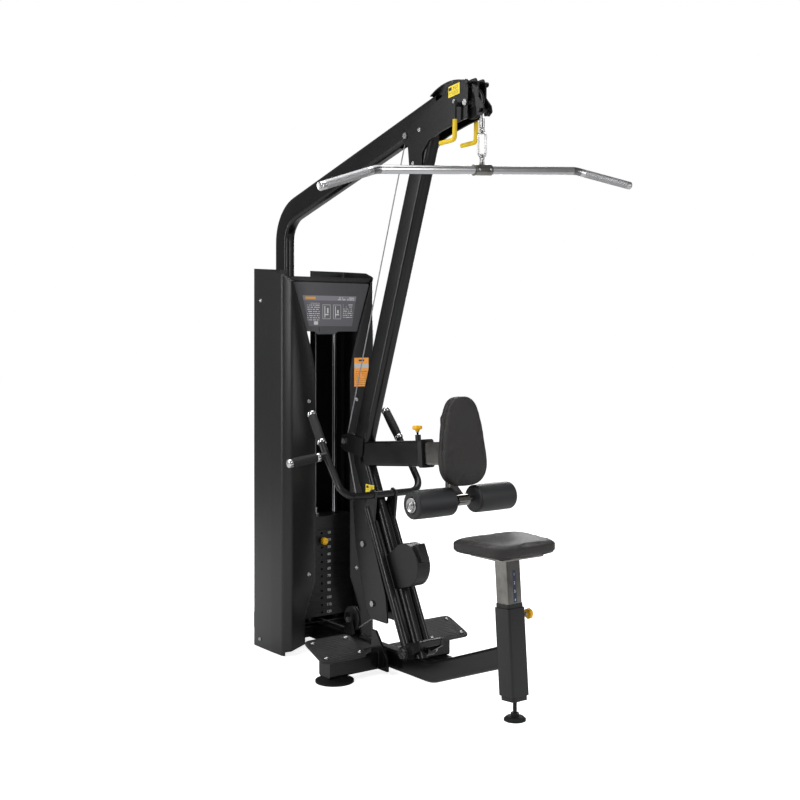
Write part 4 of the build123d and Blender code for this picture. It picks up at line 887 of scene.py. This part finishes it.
def cushion(name, outline, thick, edge, place, values):
    # outline(angle) -> two coordinates; rings shrink towards the middle of each face while the height follows
    # t = half thickness x sin^edge, r = cos^edge; place(a, b, t) puts a point of the cushion in the machine
    angle = np.linspace(0, 2 * math.pi, 160, endpoint=False)
    flat = np.stack(outline(angle), axis=1)
    turn = np.linspace(-math.pi / 2, math.pi / 2, 44)[1:-1]
    radius = np.abs(np.cos(turn)) ** edge
    height = np.sign(np.sin(turn)) * np.abs(np.sin(turn)) ** edge * thick / 2
    crown = 1 - radius[:, None] ** 2
    low = height < 0
    height = height[:, None] * (1 + np.where(low[:, None], values["crownLow"], values["crownHigh"]) * crown)
    rings = flat[None] * radius[:, None, None]
    points = np.stack([rings[..., 0], rings[..., 1], np.broadcast_to(height, rings.shape[:2])], axis=-1)
    piece = gridMesh(name, points)
    puffed(piece, values["voxel"], values["cap"])
    smooth = piece.modifiers.new("smooth", "SUBSURF")
    smooth.levels = smooth.render_levels = 1
    bake(piece)
    local = coordinates(piece.data)
    # the simulation draws the outline in: back to its full size
    full = np.array([*(np.abs(flat).max(axis=0)), thick / 2 * (1 + values["crownHigh"] / 2)])
    local *= full / np.abs(local).max(axis=0)
    # sewn seams: a groove where the side panel meets each face
    for level in values["seams"]:
        onSide = np.clip((np.hypot(*(local[:, :2] / np.abs(flat).max(axis=0)).T) - 0.55) * 6, 0, 1)
        groove = np.exp(-((local[:, 2] - level) / values["seamWidth"]) ** 2) * onSide
        local[:, :2] *= (1 - values["seamDepth"] * groove / np.abs(flat).max())[:, None]
    setCoordinates(piece.data, place(local))
    welts = []
    for index, level in enumerate(values["seams"]):
        # piping: a thin cord just outside the seam, following the cushion's own edge
        ring = []
        spokes = np.linspace(0, 2 * math.pi, 140, endpoint=False)
        band = np.abs(local[:, 2] - level) < 0.0025
        edgePoints = local[band]
        bearing = np.arctan2(edgePoints[:, 1], edgePoints[:, 0])
        reach = np.hypot(edgePoints[:, 0], edgePoints[:, 1])
        for spoke in spokes:
            near = np.abs((bearing - spoke + math.pi) % (2 * math.pi) - math.pi) < 0.05
            ring.append(reach[near].mean() if near.any() else np.nan)
        ring = np.array(ring)
        ring = np.where(np.isnan(ring), np.nanmean(ring), ring)
        ring = (np.roll(ring, 1) + ring * 2 + np.roll(ring, -1)) / 4
        line = np.stack([np.cos(spokes) * ring, np.sin(spokes) * ring, np.full(140, level)], axis=1)
        welts.append(loopTube(f"{name}Welt{index}", place(line), values["welt"]))
    return piece, welts


def loopTube(name, path, radius, steps=10):
    # closed ring of a round cord: a torus about the path
    tangents = np.roll(path, -1, axis=0) - np.roll(path, 1, axis=0)
    tangents /= np.linalg.norm(tangents, axis=1, keepdims=True)
    centre = path.mean(axis=0)
    outward = path - centre
    outward -= tangents * (outward * tangents).sum(axis=1, keepdims=True)
    outward /= np.linalg.norm(outward, axis=1, keepdims=True)
    other = np.cross(tangents, outward)
    angle = np.linspace(0, 2 * math.pi, steps, endpoint=False)
    cosine, sine = np.cos(angle)[None, :, None], np.sin(angle)[None, :, None]
    points = path[:, None] + radius * (cosine * outward[:, None] + sine * other[:, None])
    rings = len(path)
    i, j = np.meshgrid(np.arange(rings), np.arange(steps), indexing="ij")
    after, beside = (i + 1) % rings, (j + 1) % steps
    quads = np.stack([i * steps + j, after * steps + j, after * steps + beside, i * steps + beside], axis=-1)
    mesh = bpy.data.meshes.new(name)
    mesh.from_pydata(points.reshape(-1, 3).tolist(), [], quads.reshape(-1, 4).tolist())
    mesh.polygons.foreach_set("use_smooth", np.ones(len(mesh.polygons), dtype=bool))
    piece = bpy.data.objects.new(name, mesh)
    bpy.context.collection.objects.link(piece)
    return piece


def seatCushion():
    # rounded trapezoid, wide end towards the machine
    low, high = (np.array(corner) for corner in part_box("seat_cushion"))
    middle = (low + high) / 2
    size = high - low
    values = {"crownLow": 0.0, "crownHigh": 0.10, "voxel": 0.005, "cap": 0.006, "seams": [-0.016],
              "seamWidth": 0.0026, "seamDepth": 0.0022, "welt": 0.0024}

    def outline(angle):
        x, y = superRing(angle, size[0] / 2 - 0.004, size[1] / 2 - 0.004, 4.6)
        return x * (0.94 + 0.10 * (y / (size[1] / 2))), y

    def place(local):
        return local + middle

    piece, welts = cushion("seatCushion", outline, size[2] - 0.008, 0.27, place, values)
    fit(piece, "seat", "black_vinyl", "seatVinyl", "seat_cushion")
    for welt in welts:
        fit(welt, "seat", "black_vinyl", "seatVinyl")


def chestPad():
    # egg shape standing on its wide end, square to the pad's slide
    slide = joints["pad_reach"]["axis"]
    along = normalised(slide)
    up = np.cross(along, (1.0, 0, 0))
    tubeEnd = np.array((0, back(0.334), 0.8727))
    face = tubeEnd + along * (0.188 + 0.038)
    values = {"crownLow": 0.0, "crownHigh": 0.10, "voxel": 0.005, "cap": 0.006, "seams": [0.006, -0.026],
              "seamWidth": 0.0026, "seamDepth": 0.0030, "welt": 0.0016, "halfWidth": 0.104, "halfHeight": 0.162}

    def outline(angle):
        x, h = superRing(angle, values["halfWidth"], values["halfHeight"], 2.9)
        grow = 0.93 - 0.20 * (h / values["halfHeight"])
        return x * grow, h

    def place(local):
        centre = face + up * 0.045
        return centre + local[:, :1] * np.array((1.0, 0, 0)) + local[:, 1:2] * up + local[:, 2:] * along

    piece, welts = cushion("chestPadCushion", outline, 0.068, 0.30, place, values)
    fit(piece, "chest", "black_vinyl", "seatVinyl", "chest_pad")
    for welt in welts:
        fit(welt, "chest", "black_vinyl", "seatVinyl")


def rollers():
    # foam sleeve: r = R with rounded shoulders and a slight barrel; zinc-plated cup in the end with its bolt
    values = {"inner": 0.052, "outer": 0.230, "radius": 0.0505, "shoulder": 0.010, "barrel": 0.0006}
    place = np.array(joints["left_roller_spin"]["pos_m"])
    for side, body in ((-1, "left_roller"), (1, "right_roller")):
        name = body.split("_")[0] + "Roller"
        turn = np.linspace(0, math.pi / 2, 9)
        s, r = values["shoulder"], values["radius"]
        length = values["outer"] - values["inner"]
        start = [(0, 0.0106), (0, r - s - 0.004)] + [(s * (1 - math.cos(a)), r - s + s * math.sin(a)) for a in turn]
        run = np.linspace(s, length - s, 24)[1:-1]
        middle = [(a, r + values["barrel"] * math.sin(math.pi * (a - s) / (length - 2 * s))) for a in run]
        end = [(length - s * (1 - math.cos(a)), r - s + s * math.sin(a)) for a in turn[::-1]]
        profile = start + middle + end + [(length, 0.030), (length - 0.002, 0.029), (length - 0.002, 0.0106)]
        origin = place + np.array((side * values["inner"], 0, 0))
        fit(turned(name + "Foam", origin, (side, 0, 0), profile, 72), body, "roller_foam", "rollerFoam", body)
        cap = [(length - 0.0018, 0.0275), (length + 0.001, 0.0275), (length + 0.003, 0.0262), (length + 0.0036, 0.024),
               (length + 0.0015, 0.0215), (length + 0.001, 0.012), (length + 0.0015, 0.0095), (length + 0.0075, 0.0090),
               (length + 0.0082, 0.0080), (length + 0.0082, 0.0005)]
        fit(turned(name + "Cap", origin, (side, 0, 0), cap, 60), body, "zinc_hardware", "zincPlate")


def labels():
    # printed stickers: thin plates just off the surface, corners in the order low left, low right, high right, high left
    boomFace, uprightFace, towerFace = -0.0319, -0.0259, back(0.955) - 0.0004
    near, far = back(0.680), back(0.622)
    spots = {
        "boomNotice": ("noticePrint", [(boomFace, back(0.150), 2.178), (boomFace, back(0.086), 2.186),
                                       (boomFace, back(0.086), 2.226), (boomFace, back(0.150), 2.218)]),
        "armNotice": ("noticePrint", [(uprightFace, near, 0.690), (uprightFace, far, 0.690),
                                      (uprightFace, far, 0.724), (uprightFace, near, 0.724)]),
        "towerSign": ("signPrint", [(0.108, towerFace, 1.100), (0.182, towerFace, 1.100),
                                    (0.182, towerFace, 1.222), (0.108, towerFace, 1.222)]),
    }
    for name, (material, corners) in spots.items():
        fit(sheetPiece(name, corners, 0.0003), "frame", "placard", material)


def numeral(name, text, size, place, right, up, body):
    # raised lettering: a text outline given a small depth, then turned into a mesh standing at its place
    curve = bpy.data.curves.new(name, "FONT")
    curve.body, curve.size, curve.align_x, curve.align_y = text, size, "CENTER", "CENTER"
    curve.extrude, curve.resolution_u = 0.00004, 3
    holder = bpy.data.objects.new(name + "Text", curve)
    bpy.context.collection.objects.link(holder)
    mesh = bpy.data.meshes.new_from_object(holder.evaluated_get(bpy.context.evaluated_depsgraph_get()))
    bpy.data.objects.remove(holder)
    flat = coordinates(mesh)
    right, up = normalised(right), normalised(up)
    out = np.cross(right, up)
    setCoordinates(mesh, np.asarray(place, float) + flat[:, :1] * right + flat[:, 1:2] * up + flat[:, 2:] * out)
    piece = bpy.data.objects.new(name, mesh)
    bpy.context.collection.objects.link(piece)
    return fit(piece, body, "placard", "numeralInk")


def numbers():
    # weight on every plate, and the height marks on the seat's tube
    stack = {"low": 0.125, "pitch": 0.0306, "count": 12, "x": 0.036, "size": 0.017}
    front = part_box("resting_plates")[0][1] - 0.00006
    for index in range(stack["count"]):
        height = stack["low"] + (index + 0.48) * stack["pitch"]
        body = "lifted_stack" if index >= stack["count"] - 2 else "frame"
        numeral(f"plateNumber{index:02d}", f"{(stack['count'] - index) * 10}", stack["size"],
                (stack["x"], front, height), (1, 0, 0), (0, 0, 1), body)
    way = normalised(joints["seat_height"]["axis"])
    way = way * (1 if way[2] > 0 else -1)
    facing = np.cross((1.0, 0, 0), way)
    facing = facing * (1 if facing[1] < 0 else -1)
    scale = {"half": 0.0072, "start": -0.175, "end": -0.060}
    face = seatFace(way, facing)
    corners = [face + way * scale[end] + np.array((x * scale["half"], 0, 0)) + facing * 0.00008
               for end, x in (("start", -1), ("start", 1), ("end", 1), ("end", -1))]
    fit(sheetPiece("seatScale", corners, 0.00006), "seat", "placard", "scalePrint")
    for index in range(4):
        place = face + way * (scale["end"] - 0.014 - index * 0.029) + facing * 0.00012
        numeral(f"seatNumber{index + 1}", str(index + 1), 0.014, place, (1, 0, 0), way, "seat")


def seatFace(way, facing):
    # the top of the seat tube, on the side that faces the user; its lowest part has no flange
    mesh = coordinates(nodes["seat_tube"].data)
    heights = mesh @ way
    tubeOnly = mesh[heights < heights.min() + 0.05]
    return way * heights.max() + facing * (tubeOnly @ facing).max()


latBar()
bolts()
for name, y, body, node in (("barCable", hubY, "cable_end", "bar_cable"),
                            ("stackCable", back(cable["stackLine"]), "lifted_stack", "stack_cable")):
    low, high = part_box(node)
    hangingCable(name, y, low[2], high[2], node)
pullPins()
selectorPin()
grips()
footPlates()
labels()
numbers()
print("fittings")
seatCushion()
chestPad()
rollers()
print("upholstery")
